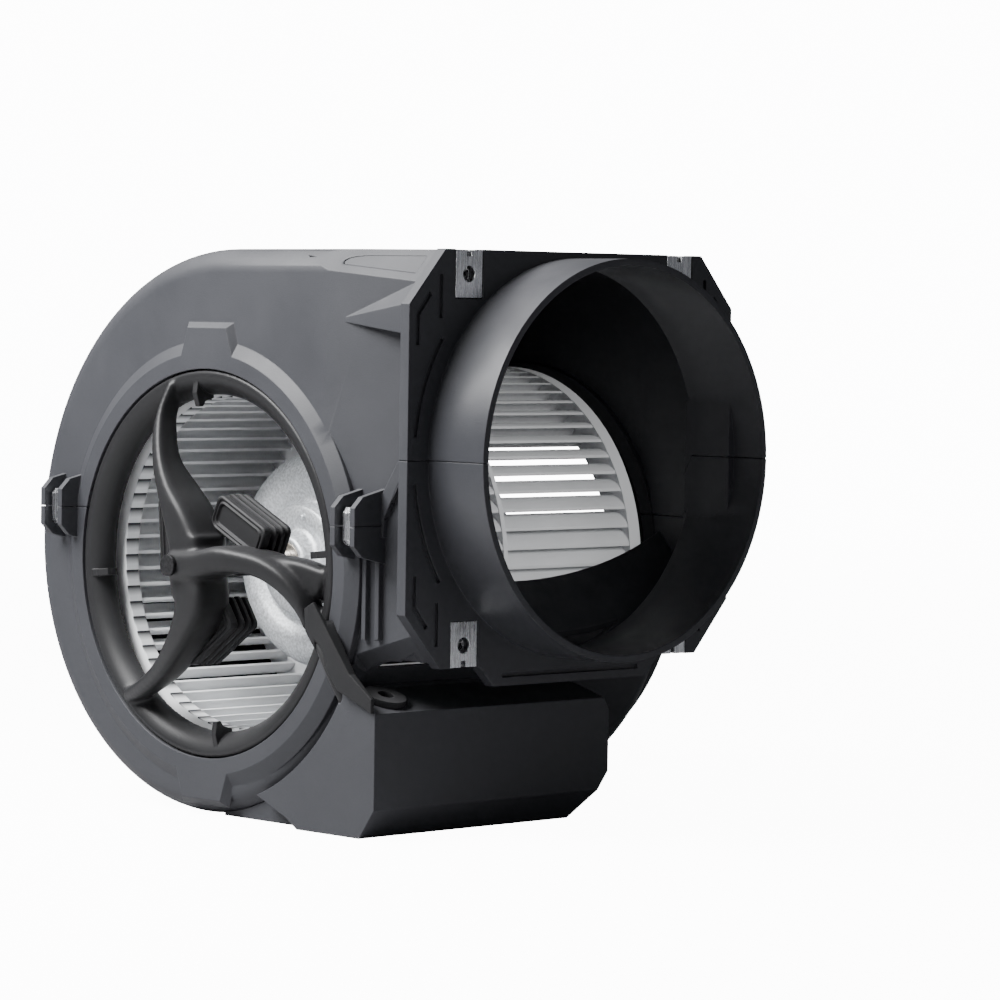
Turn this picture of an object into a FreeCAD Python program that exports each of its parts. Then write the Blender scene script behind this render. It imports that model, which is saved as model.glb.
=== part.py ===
import FreeCAD, Part
import math
import os
import re

import Sketcher

# Double-inlet centrifugal blower unit with a scroll housing in two plastic shells.
#
# Frame: the origin is the centre of the outlet flange's front face. The wheel's axis runs along X,
# air leaves the round spigot along -Y, and +Z is up. The motor hangs in the -X inlet.

doc = FreeCAD.newDocument("BlowerUnit")
Vector = FreeCAD.Vector

# ---------------------------------------------------------------- driving dimensions, millimetres

SIZES = {
    "wall": 2.5,
    "fit_gap": 0.3,
    # outlet spigot and flange
    "spigot_radius": 75.0,
    "spigot_reach": 29.2,
    "flange_thick": 4.7,
    "flange_side": 85.2,
    "flange_top": 77.3,
    "flange_low": 76.5,
    "flange_tail": 84.2,
    "flange_tail_side": 40.0,
    "corner_wide": 17.7,
    "corner_high": 20.3,
    "front_wall_back": 7.0,
    "groove_depth": 1.2,
    "groove_wide": 1.8,
    "groove_radius": 81.0,
    # flange nuts
    "nut_hole_x": 55.6,
    "nut_hole_z": 68.2,
    "nut_hole_radius": 3.0,
    "nut_wide": 13.2,
    "nut_inner_z": 59.5,
    "nut_sheet": 0.8,
    # wheel axis
    "axis_y": 111.6,
    "axis_z": -43.2,
    # scroll: a volute of three quarter arcs whose centres step round a small square
    "volute_step": 11.95,
    "volute_radius": 90.325,
    "neck_top": 77.0,
    "neck_low": 74.5,
    "neck_bend": 20.0,
    "neck_side": 77.0,
    "neck_widens_to": 45.0,
    "body_side": 85.0,
    "rim_round": 9.0,
    "inlet_plane": 87.5,
    "collar_radius": 84.0,
    "collar_hole": 74.4,
    "collar_back": 70.0,
    "boss_reach": 90.0,
    "boss_wide": 22.5,
    "boss_base": 30.0,
    "ledge_radius": 71.0,
    "ledge_front": 83.0,
    "ledge_back": 80.5,
    # cut-off tongue
    "ramp_front_mid": 71.0,
    "ramp_front_side": 50.0,
    "ramp_back_mid": 43.6,
    "ramp_back_side": 26.0,
    "ramp_back_y": 37.0,
    "tongue_clear": 80.0,
    # seam between the shells
    "seam_z": -24.7,
    "seam_step_start": 5.2,
    "seam_step_end": 17.0,
    "rib_proud": 2.2,
    # seam clips
    "clip_front_y": 23.4,
    "clip_rear_y": 196.0,
    "clip_spacing": 5.4,
    "clip_wide": 5.6,
    "ear_thick": 2.6,
    "ear_high": 11.0,
    "ear_reach": 95.5,
    # inlet rings
    "ring_radius": 74.0,
    "bell_radius": 11.5,
    "ring_wall": 2.3,
    "tab_inner": 59.5,
    # motor support
    "star_front": 104.0,
    "star_back": 92.0,
    "star_radius": 17.0,
    "arm_wide": 13.0,
    "arm_deep": 11.0,
    "first_arm_angle": 105.0,
    # rubber dampers
    "damper_front": 89.0,
    "damper_back": 73.0,
    "damper_radius": 20.0,
    "damper_wide": 27.0,
    "damper_thick": 13.0,
    "damper_core": 20.0,
    # motor
    "motor_radius": 43.0,
    "core_radius": 41.0,
    "cap_front": 40.0,
    "core_front": -22.0,
    "core_length": 28.0,
    "cap_far_end": 22.0,
    "boss_radius": 9.0,
    "bearing_radius": 7.0,
    "shaft_radius": 4.0,
    "shaft_front": -49.0,
    "shaft_back": 50.0,
    "rotor_radius": 21.7,
    "bore_radius": 22.3,
    "slot_count": 12,
    "bolt_circle": 37.4,
    "bolt_radius": 1.6,
    "bolt_head_radius": 3.1,
    # wheel
    "wheel_radius": 75.5,
    "wheel_half": 74.0,
    "blade_inner": 64.0,
    "ring_thick": 6.0,
    "disc_thick": 2.2,
    "blade_count": 64,
    "blade_thick": 1.2,
    "cup_mouth": 52.0,
    "cup_floor_radius": 46.5,
    "cup_depth": 28.0,
    "hub_radius": 10.0,
    "bush_radius": 7.0,
    # control box under the outlet
    "box_left": 87.5,
    "box_right": 34.0,
    "box_front": 13.0,
    "box_back": 106.0,
    "box_floor": 139.5,
    "box_shoulder_z": 93.0,
    "box_wing_y": 33.0,
    "box_wing_z": 86.0,
    "grommet_x": -74.0,
    "plate_thick": 2.0,
    "plate_back": 80.0,
    "capacitor_radius": 13.0,
    "capacitor_y": 31.5,
    "capacitor_z": -120.0,
    "capacitor_length": 50.0,
    "lead_radius": 2.0,
    "lead_space": 2.3,
}

sheet = doc.addObject("Spreadsheet::Sheet", "Sizes")
for row_number, (alias, number) in enumerate(SIZES.items(), start=1):
    sheet.set(f"A{row_number}", alias)
    sheet.set(f"B{row_number}", str(number))
    sheet.setAlias(f"B{row_number}", alias)
doc.recompute()


# ---------------------------------------------------------------- helpers

def formula(text):
    """An expression on the sheet, from words that are the sheet's aliases."""
    def named(word):
        return "Sizes." + word.group() if word.group() in SIZES else word.group()
    return re.sub(r"[a-z][a-z_]*[a-z]", named, str(text))


def value(text):
    """The number that a formula gives."""
    return float(sheet.evalExpression(formula(text)))


def bind(thing, **formulas):
    """Bind properties to formulas on the sheet."""
    for name, text in formulas.items():
        thing.setExpression(name, formula(text))


def place(thing, x=0, y=0, z=0, rotation=None):
    """Set a placement whose base is bound to the sheet."""
    if rotation is not None:
        thing.Placement = FreeCAD.Placement(Vector(), rotation)
    for letter, text in (("x", x), ("y", y), ("z", z)):
        thing.setExpression(f".Placement.Base.{letter}", formula(text))
    return thing


TURN_TO_X = FreeCAD.Rotation(Vector(0, 1, 0), 90)
TURN_TO_Y = FreeCAD.Rotation(Vector(1, 0, 0), -90)


def cylinder(label, radius, start, length, along="X", a="axis_y", b="axis_z"):
    """A cylinder along X (a, b are Y and Z), along Y (X and Z) or along Z (X and Y)."""
    made = doc.addObject("Part::Cylinder", label)
    bind(made, Radius=radius, Height=length)
    if along == "X":
        return place(made, start, a, b, TURN_TO_X)
    if along == "Y":
        return place(made, a, start, b, TURN_TO_Y)
    return place(made, a, b, start)


def box(label, x, y, z):
    """A box between two formulas on each axis."""
    made = doc.addObject("Part::Box", label)
    bind(made, Length=f"({x[1]}) - ({x[0]})", Width=f"({y[1]}) - ({y[0]})",
         Height=f"({z[1]}) - ({z[0]})")
    return place(made, x[0], y[0], z[0])


def fuse(label, *pieces):
    """One shape from several."""
    made = doc.addObject("Part::MultiFuse", label)
    made.Shapes = list(pieces)
    return made


def common(label, *pieces):
    """What several shapes share."""
    made = doc.addObject("Part::MultiCommon", label)
    made.Shapes = list(pieces)
    return made


def cut(label, base, *tools):
    """A shape with others taken away."""
    made = doc.addObject("Part::Cut", label)
    made.Base = base
    made.Tool = tools[0] if len(tools) == 1 else fuse(label + "_tools", *tools)
    return made


def mirrored(label, source, normal=(1, 0, 0)):
    """A mirror image across a plane through the origin."""
    made = doc.addObject("Part::Mirroring", label)
    made.Source = source
    made.Normal = Vector(*normal)
    return made


def on_axis(label, source, angle=0):
    """A piece made round the X axis, turned by an angle and set on the wheel's axis."""
    made = doc.addObject("Part::Compound", label)
    made.Links = [source]
    return place(made, 0, "axis_y", "axis_z", FreeCAD.Rotation(Vector(1, 0, 0), -angle))


def plane_of(body, role):
    """One of a body's own origin planes or axes."""
    return next(item for item in body.Origin.OriginFeatures if item.Role == role)


def arc_centre(start, end, radius, side):
    """Centre of the short arc from start to end, on the left of that line (side 1) or its right (-1)."""
    chord = end - start
    rise = math.sqrt(max(radius ** 2 - (chord.Length / 2) ** 2, 0.0))
    left = Vector(-chord.y, chord.x, 0).normalize()
    return (start + end) * 0.5 + left * (rise * side)


def outline(body, plane, corners, offset=0):
    """Closed sketch through corners (u, v) or (u, v, radius, side), which starts an arc."""
    sketch = body.newObject("Sketcher::SketchObject", body.Name + "Outline")
    sketch.AttachmentSupport = [(plane_of(body, plane), "")]
    sketch.MapMode = "FlatFace"
    if offset != 0:
        sketch.setExpression(".AttachmentOffset.Base.z", formula(offset))
    spots = [Vector(value(corner[0]), value(corner[1]), 0) for corner in corners]
    ends = []
    for number, corner in enumerate(corners):
        start, end = spots[number], spots[(number + 1) % len(spots)]
        if len(corner) == 2:
            sketch.addGeometry(Part.LineSegment(start, end))
            ends.append((1, 2))
            continue
        side = corner[3]
        centre = arc_centre(start, end, value(corner[2]), side)
        first, last = (start, end) if side > 0 else (end, start)
        angles = [math.atan2(spot.y - centre.y, spot.x - centre.x) for spot in (first, last)]
        circle = Part.Circle(centre, Vector(0, 0, 1), value(corner[2]))
        sketch.addGeometry(Part.ArcOfCircle(circle, *angles))
        ends.append((1, 2) if side > 0 else (2, 1))
    for number, corner in enumerate(corners):
        following = (number + 1) % len(corners)
        sketch.addConstraint(Sketcher.Constraint(
            "Coincident", number, ends[number][1], following, ends[following][0]))
        for kind, text, letter in (("DistanceX", corner[0], "u"), ("DistanceY", corner[1], "v")):
            made = sketch.addConstraint(Sketcher.Constraint(
                kind, -1, 1, number, ends[number][0], value(text)))
            sketch.renameConstraint(made, f"{letter}{number}")
            sketch.setExpression(f"Constraints.{letter}{number}", formula(text))
        if len(corner) == 4:
            made = sketch.addConstraint(Sketcher.Constraint("Radius", number, value(corner[2])))
            sketch.renameConstraint(made, f"radius{number}")
            sketch.setExpression(f"Constraints.radius{number}", formula(corner[2]))
    return sketch


def new_body(label):
    """A PartDesign body with its own name."""
    body = doc.addObject("PartDesign::Body", label)
    body.Label = label
    return body


def padded(label, plane, corners, length, offset=0, symmetric=False, back=False):
    """A body padded from one outline."""
    body = new_body(label)
    sketch = outline(body, plane, corners, offset)
    pad = body.newObject("PartDesign::Pad", label + "Pad")
    pad.Profile = sketch
    pad.SideType = "Symmetric" if symmetric else "One side"
    pad.Reversed = back
    bind(pad, Length=length)
    return body


def turned(label, corners, at_axis=True):
    """A body turned about the wheel's axis, from an outline of (x, radius) corners."""
    body = new_body(label)
    sketch = outline(body, "XY_Plane", corners)
    revolution = body.newObject("PartDesign::Revolution", label + "Turn")
    revolution.Profile = sketch
    revolution.ReferenceAxis = (sketch, ["H_Axis"])
    revolution.Angle = 360
    if at_axis:
        place(body, 0, "axis_y", "axis_z")
    return body


def round_edges(body, radius, wanted):
    """Fillet the edges of a body's tip that a test picks."""
    doc.recompute()
    base = body.Tip
    names = [f"Edge{number}" for number, edge in enumerate(base.Shape.Edges, start=1) if wanted(edge)]
    fillet = body.newObject("PartDesign::Fillet", body.Name + "Round")
    fillet.Base = (base, names)
    bind(fillet, Radius=radius)
    return body


NODES = {}


def node(name, made):
    """Record a finished sub-part under the name that its file takes."""
    made.Label = name
    NODES[name] = made
    return made


# ---------------------------------------------------------------- scroll housing

def volute(label, grow):
    """The scroll with its neck as a solid, grown by an offset all round."""
    step, radius = "volute_step", f"(volute_radius + {grow})"
    low = f"(neck_low + {grow})"
    bend = f"(neck_bend - {grow})"
    front_y, front_z = "(axis_y + volute_step / 2)", "(axis_z - volute_step / 2)"
    drop = f"(-neck_low - neck_bend - {front_z})"
    reach = f"sqrt((volute_radius + neck_bend)^2 - {drop}^2)"
    bend_y, bend_z = f"({front_y} - {reach})", "(-neck_low - neck_bend)"
    share = f"{bend} / (volute_radius + neck_bend)"
    corners = [
        (0, f"neck_top + {grow}"),
        (f"axis_y - {step} / 2", f"neck_top + {grow}", f"{radius} + 2 * {step}", -1),
        (f"{front_y} + {radius} + {step}", f"axis_z + {step} / 2", f"{radius} + {step}", -1),
        (front_y, f"{front_z} - {radius}", radius, -1),
        (f"{bend_y} + {reach} * {share}", f"{bend_z} - {drop} * {share}", bend, 1),
        (bend_y, f"-{low}"),
        (0, f"-{low}"),
    ]
    body = padded(label, "YZ_Plane", corners, f"2 * (body_side + {grow})", symmetric=True)
    doc.recompute()
    half = value(f"body_side + {grow}")

    def on_rim(edge):
        bounds = edge.BoundBox
        return bounds.XLength < 0.01 and abs(abs(bounds.XMin) - half) < 0.01 and bounds.YMax > 1.0
    return round_edges(body, f"rim_round + {grow}", on_rim)


def plan_limit(label, grow):
    """Plan view of the housing, which narrows towards the flange."""
    near, far = f"neck_side + {grow}", f"body_side + {grow}"
    corners = [(f"-({near})", -1), (near, -1), (far, "neck_widens_to"), (f"{far} + 5", 300),
               (f"-({far} + 5)", 300), (f"-({far})", "neck_widens_to")]
    return padded(label, "XY_Plane", corners, 600, symmetric=True)


def collar():
    """Raised ring round the -X inlet with a sloping edge, a boss above it and one below it."""
    ring = turned("collar_ring", [
        ("-collar_back", "0"), ("-inlet_plane", "0"), ("-inlet_plane", "collar_radius - 3.5"),
        ("-body_side + 0.3", "collar_radius + 2"), ("-collar_back", "collar_radius + 2")])
    bosses = []
    for name, side in (("upper_boss", 1), ("lower_boss", -1)):
        body = new_body(name)
        sections = []
        for spread, x in (("0", "-inlet_plane"), ("2.6", "-body_side + 0.6")):
            low = f"axis_z + {side} * (collar_radius - 5)"
            high = f"axis_z + {side} * (boss_reach + {spread})"
            sections.append(outline(body, "YZ_Plane", [
                (f"axis_y - boss_wide / 2 - {spread}", high), (f"axis_y - boss_base / 2 - {spread}",
                                                               low),
                (f"axis_y + boss_base / 2 + {spread}", low), (f"axis_y + boss_wide / 2 + {spread}",
                                                              high)], x))
        loft = body.newObject("PartDesign::AdditiveLoft", name + "_loft")
        loft.Profile = sections[0]
        loft.Sections = sections[1:]
        loft.Ruled = True
        bosses.append(body)
    return fuse("near_collar", ring, *bosses)


def gusset():
    """Fairing from the flange's upper corner back to the rounded neck."""
    body = new_body("gusset")
    wide = outline(body, "XZ_Plane", [("-70", "45"), ("-flange_side", "46"), ("-flange_side",
        "flange_top - corner_high"),
                                      ("-75.5", "flange_top - 9.2")], "-2")
    tip = outline(body, "XZ_Plane", [("-80", "50"), ("-83.4", "50.3"), ("-83.4", "51.2"), ("-82.8",
        "51.8")], "-40")
    loft = body.newObject("PartDesign::AdditiveLoft", "gussetLoft")
    loft.Profile = wide
    loft.Sections = [tip]
    loft.Ruled = True
    return body


def flange():
    """Outlet flange plate with chamfered corners and a tail at its lower edge."""
    side, top, low = "flange_side", "flange_top", "flange_low"
    half = [(f"{side}", f"-({low} - corner_high)"), (f"{side}", f"{top} - corner_high"),
            (f"{side} - corner_wide", top)]
    corners = [("-flange_tail_side", "-flange_tail"), ("flange_tail_side", "-flange_tail"),
               ("flange_tail_side + 7.5", f"-{low}"), (f"{side} - corner_wide", f"-{low}")]
    corners += half
    corners += [(f"-({u})", v) for u, v in reversed(half)]
    corners += [(f"-({side} - corner_wide)", f"-{low}"), ("-(flange_tail_side + 7.5)", f"-{low}")]
    return padded("flange_plate", "XZ_Plane", corners, "flange_thick", back=True)


def groove(label, corners):
    """A shallow groove in the flange's front face."""
    return padded(label, "XZ_Plane", corners, "groove_depth + 1", "1", back=True)


def flange_grooves():
    """Grooves in the flange: arcs round the spigot, and straight ones beside the nuts."""
    tools = []
    inner, outer = "groove_radius", "groove_radius + groove_wide"
    for number, (low, high) in enumerate(((6, 33), (-33, -6))):
        corners = [(f"-({outer}) * cos({high})", f"({outer}) * sin({high})", outer, 1),
                   (f"-({outer}) * cos({low})", f"({outer}) * sin({low})"),
                   (f"-({inner}) * cos({low})", f"({inner}) * sin({low})", inner, -1),
                   (f"-({inner}) * cos({high})", f"({inner}) * sin({high})")]
        left = groove(f"arc_groove_{number}", corners)
        tools += [left, mirrored(f"arc_groove_right_{number}", left)]
    for number, side in enumerate((1, -1)):
        upright = groove(f"upright_groove_{number}", [
            ("-70.5", f"{side} * 52"), ("-70.5 + groove_wide", f"{side} * 52"),
            ("-70.5 + groove_wide", f"{side} * 68"), ("-70.5", f"{side} * 68")])
        slant = groove(f"slant_groove_{number}", [
            ("-81.8", f"{side} * 42"), ("-81.8 + groove_wide", f"{side} * 42"),
            ("-81.8 + groove_wide", f"{side} * 53"), ("-74", f"{side} * 60.5"),
            ("-75.3", f"{side} * 61.7"), ("-81.8", f"{side} * 53.8")])
        tools += [upright, mirrored(f"upright_groove_right_{number}", upright),
                  slant, mirrored(f"slant_groove_right_{number}", slant)]
    tools.append(groove("tail_groove", [("-36", "-81"), ("36", "-81"),
                                        ("36", "-81 + groove_wide"), ("-36", "-81 + groove_wide")]))
    return tools


def nut_recesses():
    """Recess and hole for the clip nut in each corner of the flange."""
    tools = []
    for number, (side, up) in enumerate(((-1, 1), (1, 1), (-1, -1), (1, -1))):
        x = [f"{side} * nut_hole_x - nut_wide / 2 - 0.4", f"{side} * nut_hole_x + nut_wide / 2 + 0.4"]
        inner, outer = f"{up} * (nut_inner_z - 0.4)", f"{up} * 80"
        z = [inner, outer] if up > 0 else [outer, inner]
        tools.append(box(f"nut_recess_{number}", x, ["-1", "nut_sheet + 0.4"], z))
        tools.append(box(f"nut_pocket_{number}", x, ["flange_thick - nut_sheet - 0.4",
                                                     "flange_thick + 4"], z))
        edge_z = [f"{up} * ({'flange_top' if up > 0 else 'flange_low'} - nut_sheet - 0.5)", outer]
        tools.append(box(f"nut_edge_{number}", x, ["-1", "flange_thick + 4"],
                         edge_z if up > 0 else edge_z[::-1]))
        tools.append(cylinder(f"nut_clearance_{number}", "nut_hole_radius + 0.6", "-1",
                              "flange_thick + 3",
                              "Y", f"{side} * nut_hole_x", f"{up} * nut_hole_z"))
    return tools


def ramp(label, drop, back_y):
    """Curved ramp that leads the air from the cut-off tongue to the spigot, filled down to the neck."""
    body = new_body(label)
    sections = []
    for y, mid, side, half in (("front_wall_back - 1", "ramp_front_mid", "ramp_front_side", "82"),
                               (back_y, "ramp_back_mid", "ramp_back_side", "84")):
        sag = f"({mid} - {side})"
        radius = f"({half}^2 + {sag}^2) / (2 * {sag})"
        corners = [(f"-{half}", "-neck_low - 3"), (half, "-neck_low - 3"),
                   (half, f"-{side} - {drop}", radius, -1),
                   (f"-{half}", f"-{side} - {drop}")]
        sections.append(outline(body, "XZ_Plane", corners, f"-({y})"))
    loft = body.newObject("PartDesign::AdditiveLoft", label + "Loft")
    loft.Profile = sections[0]
    loft.Sections = sections[1:]
    loft.Ruled = True
    return body


def ear_pair(label, y):
    """Two upright ears on the -X side wall that guard a seam clip."""
    pieces = []
    for number, side in enumerate((-1, 1)):
        middle = f"{y} + {side} * clip_spacing"
        body = padded(f"{label}_{number}", "XZ_Plane", [
            ("-body_side + 6", "seam_z - ear_high - 3"), ("-ear_reach + 4", "seam_z - ear_high"),
            ("-ear_reach", "seam_z - ear_high + 4"), ("-ear_reach", "seam_z + ear_high - 4"),
            ("-ear_reach + 4", "seam_z + ear_high"), ("-body_side + 6", "seam_z + ear_high + 3")],
            "ear_thick", f"-({middle} + ear_thick / 2)")
        pieces.append(body)
    return pieces


def side_ribs():
    """Raised lip along the seam's step, and two upright ribs below the front ears."""
    start, end = "seam_step_start", "seam_step_end"
    lip = padded("seam_lip", "YZ_Plane", [
        ("flange_thick - 1", "3.2"), (f"{start} + 2.4", "3.2"), (f"{end} + 3", "seam_z + 6"),
        (f"{end} + 3", "seam_z - 4"), (f"{end} - 1", "seam_z - 4"), (f"{end} - 1.6", "seam_z + 4"),
        (start, "-2.4"), ("flange_thick - 1", "-2.4")], "9", "-neck_side - 8")
    ribs = [box(f"upright_rib_{number}", ["-neck_side - 8", "-neck_side + 1"], [y, f"{y} + 1.8"],
                ["seam_z - 42", "seam_z - 8"]) for number, y in enumerate(("17.5", "23.5"))]
    return common("side_ribs", fuse("rib_blanks", lip, *ribs), plan_limit("rib_limit", "rib_proud"))


def housing():
    """Both shells in one, before the seam parts them."""
    outside = common("outside", volute("volute_outside", 0), plan_limit("plan_outside", 0))
    inside = common("inside", volute("volute_inside", "(-wall)"), plan_limit("plan_inside", "(-wall)"),
                    box("behind_front_wall", ["-100", "100"], ["front_wall_back", "300"], ["-200",
                                                                                           "200"]))
    near = collar()
    ears = ear_pair("front_ear", "clip_front_y") + ear_pair("rear_ear", "clip_rear_y")
    side_pieces = [near, gusset(), side_ribs(), *ears]
    spigot = cylinder("spigot_wall", "spigot_radius", "-spigot_reach", "spigot_reach + 2", "Y", 0, 0)
    blank = fuse("housing_blank", outside, flange(), spigot,
                 *side_pieces, *[mirrored(piece.Name + "_far", piece) for piece in side_pieces])
    tongue_clear = cylinder("tongue_clearance", "tongue_clear", "-100", "200")
    ramp_block = common("ramp_block", inside, cut("ramp_fill", ramp("ramp_top", 0, "ramp_back_y"),
                                                  tongue_clear))
    under_clear = cylinder("under_tongue", "tongue_clear + wall", "-100", "200")
    under = common("under_ramp", cut("under_fill", ramp("ramp_under", "wall + 0.4", "ramp_back_y"),
                                     under_clear),
                   box("under_limit", ["-neck_side + wall + 1", "neck_side - wall - 1"],
                       ["front_wall_back + 0.5", "ramp_back_y"], ["-neck_low - 3", "0"]))
    bore = cylinder("spigot_bore", "spigot_radius - wall", "-spigot_reach - 1", "spigot_reach + 12",
                    "Y", 0, 0)
    hollow = cut("hollow", inside, ramp_block)
    holes = cylinder("inlet_holes", "collar_hole", "-120", "240")
    ledge = cut("ledge_rings", cylinder("ledge_outer", "ledge_radius + 6", "-ledge_front",
                                        "2 * ledge_front"),
                cylinder("ledge_inner", "ledge_radius", "-100", "200"),
                cylinder("ledge_middle", "ledge_radius + 8", "-ledge_back", "2 * ledge_back"))
    shell = cut("hollow_housing", blank, hollow, under, bore, holes, *flange_grooves(), *nut_recesses())
    pads = [common("guide_pad", cylinder("pad_limit", "spigot_radius - wall + 0.5", "-20", "40", "Y",
                                         0, 0),
                   box("pad_block", ["spigot_radius - 5.5", "spigot_radius"], ["-14.5", "9"], ["-25",
                       "21.5"]))]
    pads.append(mirrored("guide_pad_far", pads[0]))
    return fuse("whole_housing", shell, ledge, *pads)


def seam_region(label, gap, up):
    """Everything above the seam (up 1) or below it (up -1), with its step near the flange."""
    far = f"{up} * 260"
    corners = [("-60", gap), ("seam_step_start", gap), ("seam_step_end", f"seam_z + {gap}"),
               ("400", f"seam_z + {gap}"), ("400", far), ("-60", far)]
    return padded(label, "YZ_Plane", corners, 400, symmetric=True)


whole = housing()
node("upper_shell", common("upper_shell", whole, seam_region("above_seam", "(fit_gap / 2)", 1)))
node("lower_shell", common("lower_shell", whole, seam_region("below_seam", "(-fit_gap / 2)", -1)))

# ---------------------------------------------------------------- fasteners of the housing

def clip_nut(number, side, up):
    """Sheet steel clip nut folded over the flange's edge."""
    edge = "flange_top" if up > 0 else "flange_low"
    x = [f"{side} * nut_hole_x - nut_wide / 2", f"{side} * nut_hole_x + nut_wide / 2"]
    inner, outer = f"{up} * nut_inner_z", f"{up} * ({edge} - 0.2)"
    z = [inner, outer] if up > 0 else [outer, inner]
    bend_z = [f"{up} * ({edge} - 0.2 - nut_sheet)", outer]
    plates = fuse(f"nut_plates_{number}",
                  box(f"nut_front_{number}", x, ["0.2", "0.2 + nut_sheet"], z),
                  box(f"nut_back_{number}", x, ["flange_thick - 0.2 - nut_sheet",
                                                "flange_thick - 0.2"], z),
                  box(f"nut_bend_{number}", x, ["0.2", "flange_thick - 0.2"],
                      bend_z if up > 0 else bend_z[::-1]),
                  cylinder(f"nut_barrel_{number}", "nut_hole_radius + 1.6", "flange_thick - 0.6", "3",
                           "Y", f"{side} * nut_hole_x", f"{up} * nut_hole_z"))
    hole = cylinder(f"nut_hole_{number}", "nut_hole_radius", "-1", "20",
                    "Y", f"{side} * nut_hole_x", f"{up} * nut_hole_z")
    notch = box(f"nut_notch_{number}", [f"{side} * nut_hole_x - 1.2", f"{side} * nut_hole_x + 1.2"],
                ["-1", "flange_thick + 1"], [f"{up} * ({edge} - 2.6)", f"{up} * 90"][::up])
    return cut(f"clip_nut_{number}", plates, hole, notch)


nuts = [clip_nut(number, side, up) for number, (side, up) in enumerate(((-1, 1), (1, 1), (-1, -1), (1,
    -1)))]
clip_nut_group = doc.addObject("Part::Compound", "flange_clip_nuts")
clip_nut_group.Links = nuts
node("flange_clip_nuts", clip_nut_group)


def seam_clip(label, y, foot):
    """Bent spring steel strip that pulls the shells together between two ears."""
    corners = [(foot, "seam_z - 7"), ("-ear_reach + 4.2", "seam_z - 7"),
               ("-ear_reach + 2.6", "seam_z - 5"), ("-ear_reach + 2.6", "seam_z + 5"),
               ("-ear_reach + 4.2", "seam_z + 7"), (foot, "seam_z + 7"), (foot, "seam_z + 6.1"),
               ("-ear_reach + 4.8", "seam_z + 6.1"),
               ("-ear_reach + 3.6", "seam_z + 4.6"), ("-ear_reach + 3.6", "seam_z - 4.6"),
               ("-ear_reach + 4.8", "seam_z - 6.1"), (foot, "seam_z - 6.1")]
    return padded(label, "XZ_Plane", corners, "clip_wide", f"-({y} + clip_wide / 2)")


near_clips = [seam_clip("front_seam_clip", "clip_front_y", "-neck_side - 5.2"),
              seam_clip("rear_seam_clip", "clip_rear_y", "-inlet_plane - 0.2")]
clip_group = doc.addObject("Part::Compound", "seam_spring_clips")
clip_group.Links = near_clips + [mirrored(piece.Name + "_far", piece) for piece in near_clips]
node("seam_spring_clips", clip_group)

# ---------------------------------------------------------------- inlet rings and motor support

def inlet_ring(label):
    """Bellmouth ring of the -X inlet, with four short tabs inside it."""
    inner = "(bell_radius - ring_wall)"
    middle = "inlet_plane - bell_radius"
    ring = turned(label + "_bell", [
        ("-inlet_plane", "ring_radius", "bell_radius", 1),
        (f"-({middle})", "ring_radius - bell_radius"),
        (f"-({middle})", "ring_radius - bell_radius + ring_wall", inner, -1),
        (f"-({middle} + sqrt({inner}^2 - 3^2))", "ring_radius - 3"),
        (f"-({middle} + sqrt({inner}^2 - 3^2))", "ring_radius")])
    tabs = []
    for number, (y, z) in enumerate(((0, 1), (0, -1), (1, 0), (-1, 0))):
        spans = []
        for middle_text, way in (("axis_y", y), ("axis_z", z)):
            if way:
                reach = [f"{middle_text} + {way} * tab_inner",
                         f"{middle_text} + {way} * (ring_radius - 8.5)"]
                spans.append(reach if way > 0 else reach[::-1])
            else:
                spans.append([f"{middle_text} - 1.4", f"{middle_text} + 1.4"])
        tabs.append(box(f"{label}_tab_{number}", ["-inlet_plane + 4", "-inlet_plane + bell_radius"],
                        *spans))
    return fuse(label, ring, *tabs)


def arm(number):
    """One arched arm from the star to the inlet ring."""
    body = new_body(f"support_arm_{number}")
    sections = []
    for radius, front, wide in (("star_radius - 9", "star_front", "arm_wide + 4"),
                                ("34", "star_front - 1.5", "arm_wide + 1"),
                                ("52", "star_front - 6.5", "arm_wide"),
                                ("ring_radius - 6", "inlet_plane - 1.5", "arm_wide - 1")):
        sections.append(outline(body, "XZ_Plane", [
            (f"-({front})", f"-({wide}) / 2"), (f"-({front})", f"({wide}) / 2"),
            (f"-({front}) + arm_deep", f"({wide}) / 2 - 1"), (f"-({front}) + arm_deep",
                                                              f"-({wide}) / 2 + 1")],
            radius))
    loft = body.newObject("PartDesign::AdditiveLoft", f"arm_loft_{number}")
    loft.Profile = sections[0]
    loft.Sections = sections[1:]
    loft.Ruled = True
    return body


far_ring = mirrored("far_ring_source", inlet_ring("far_ring"))
node("far_inlet_ring", far_ring)
star = cylinder("support_star", "star_radius", "-star_front", "star_front - star_back")
first_arm = arm(0)
arms = [on_axis(f"turned_arm_{number}", first_arm, value("first_arm_angle") + 120 * number)
        for number in range(3)]
screw_hole = cylinder("support_screw_hole", "2.1", "-120", "60")
node("motor_support", cut("motor_support", fuse("support_blank", inlet_ring("near_ring"), star, *arms),
                          screw_hole))
support_screw = fuse("support_screw_blank", cylinder("support_screw_shank", "2.0", "-star_front", "24"),
                     cylinder("support_screw_head", "4.0", "-star_front - 1.6", "1.6"))
node("support_screw", support_screw)


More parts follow.
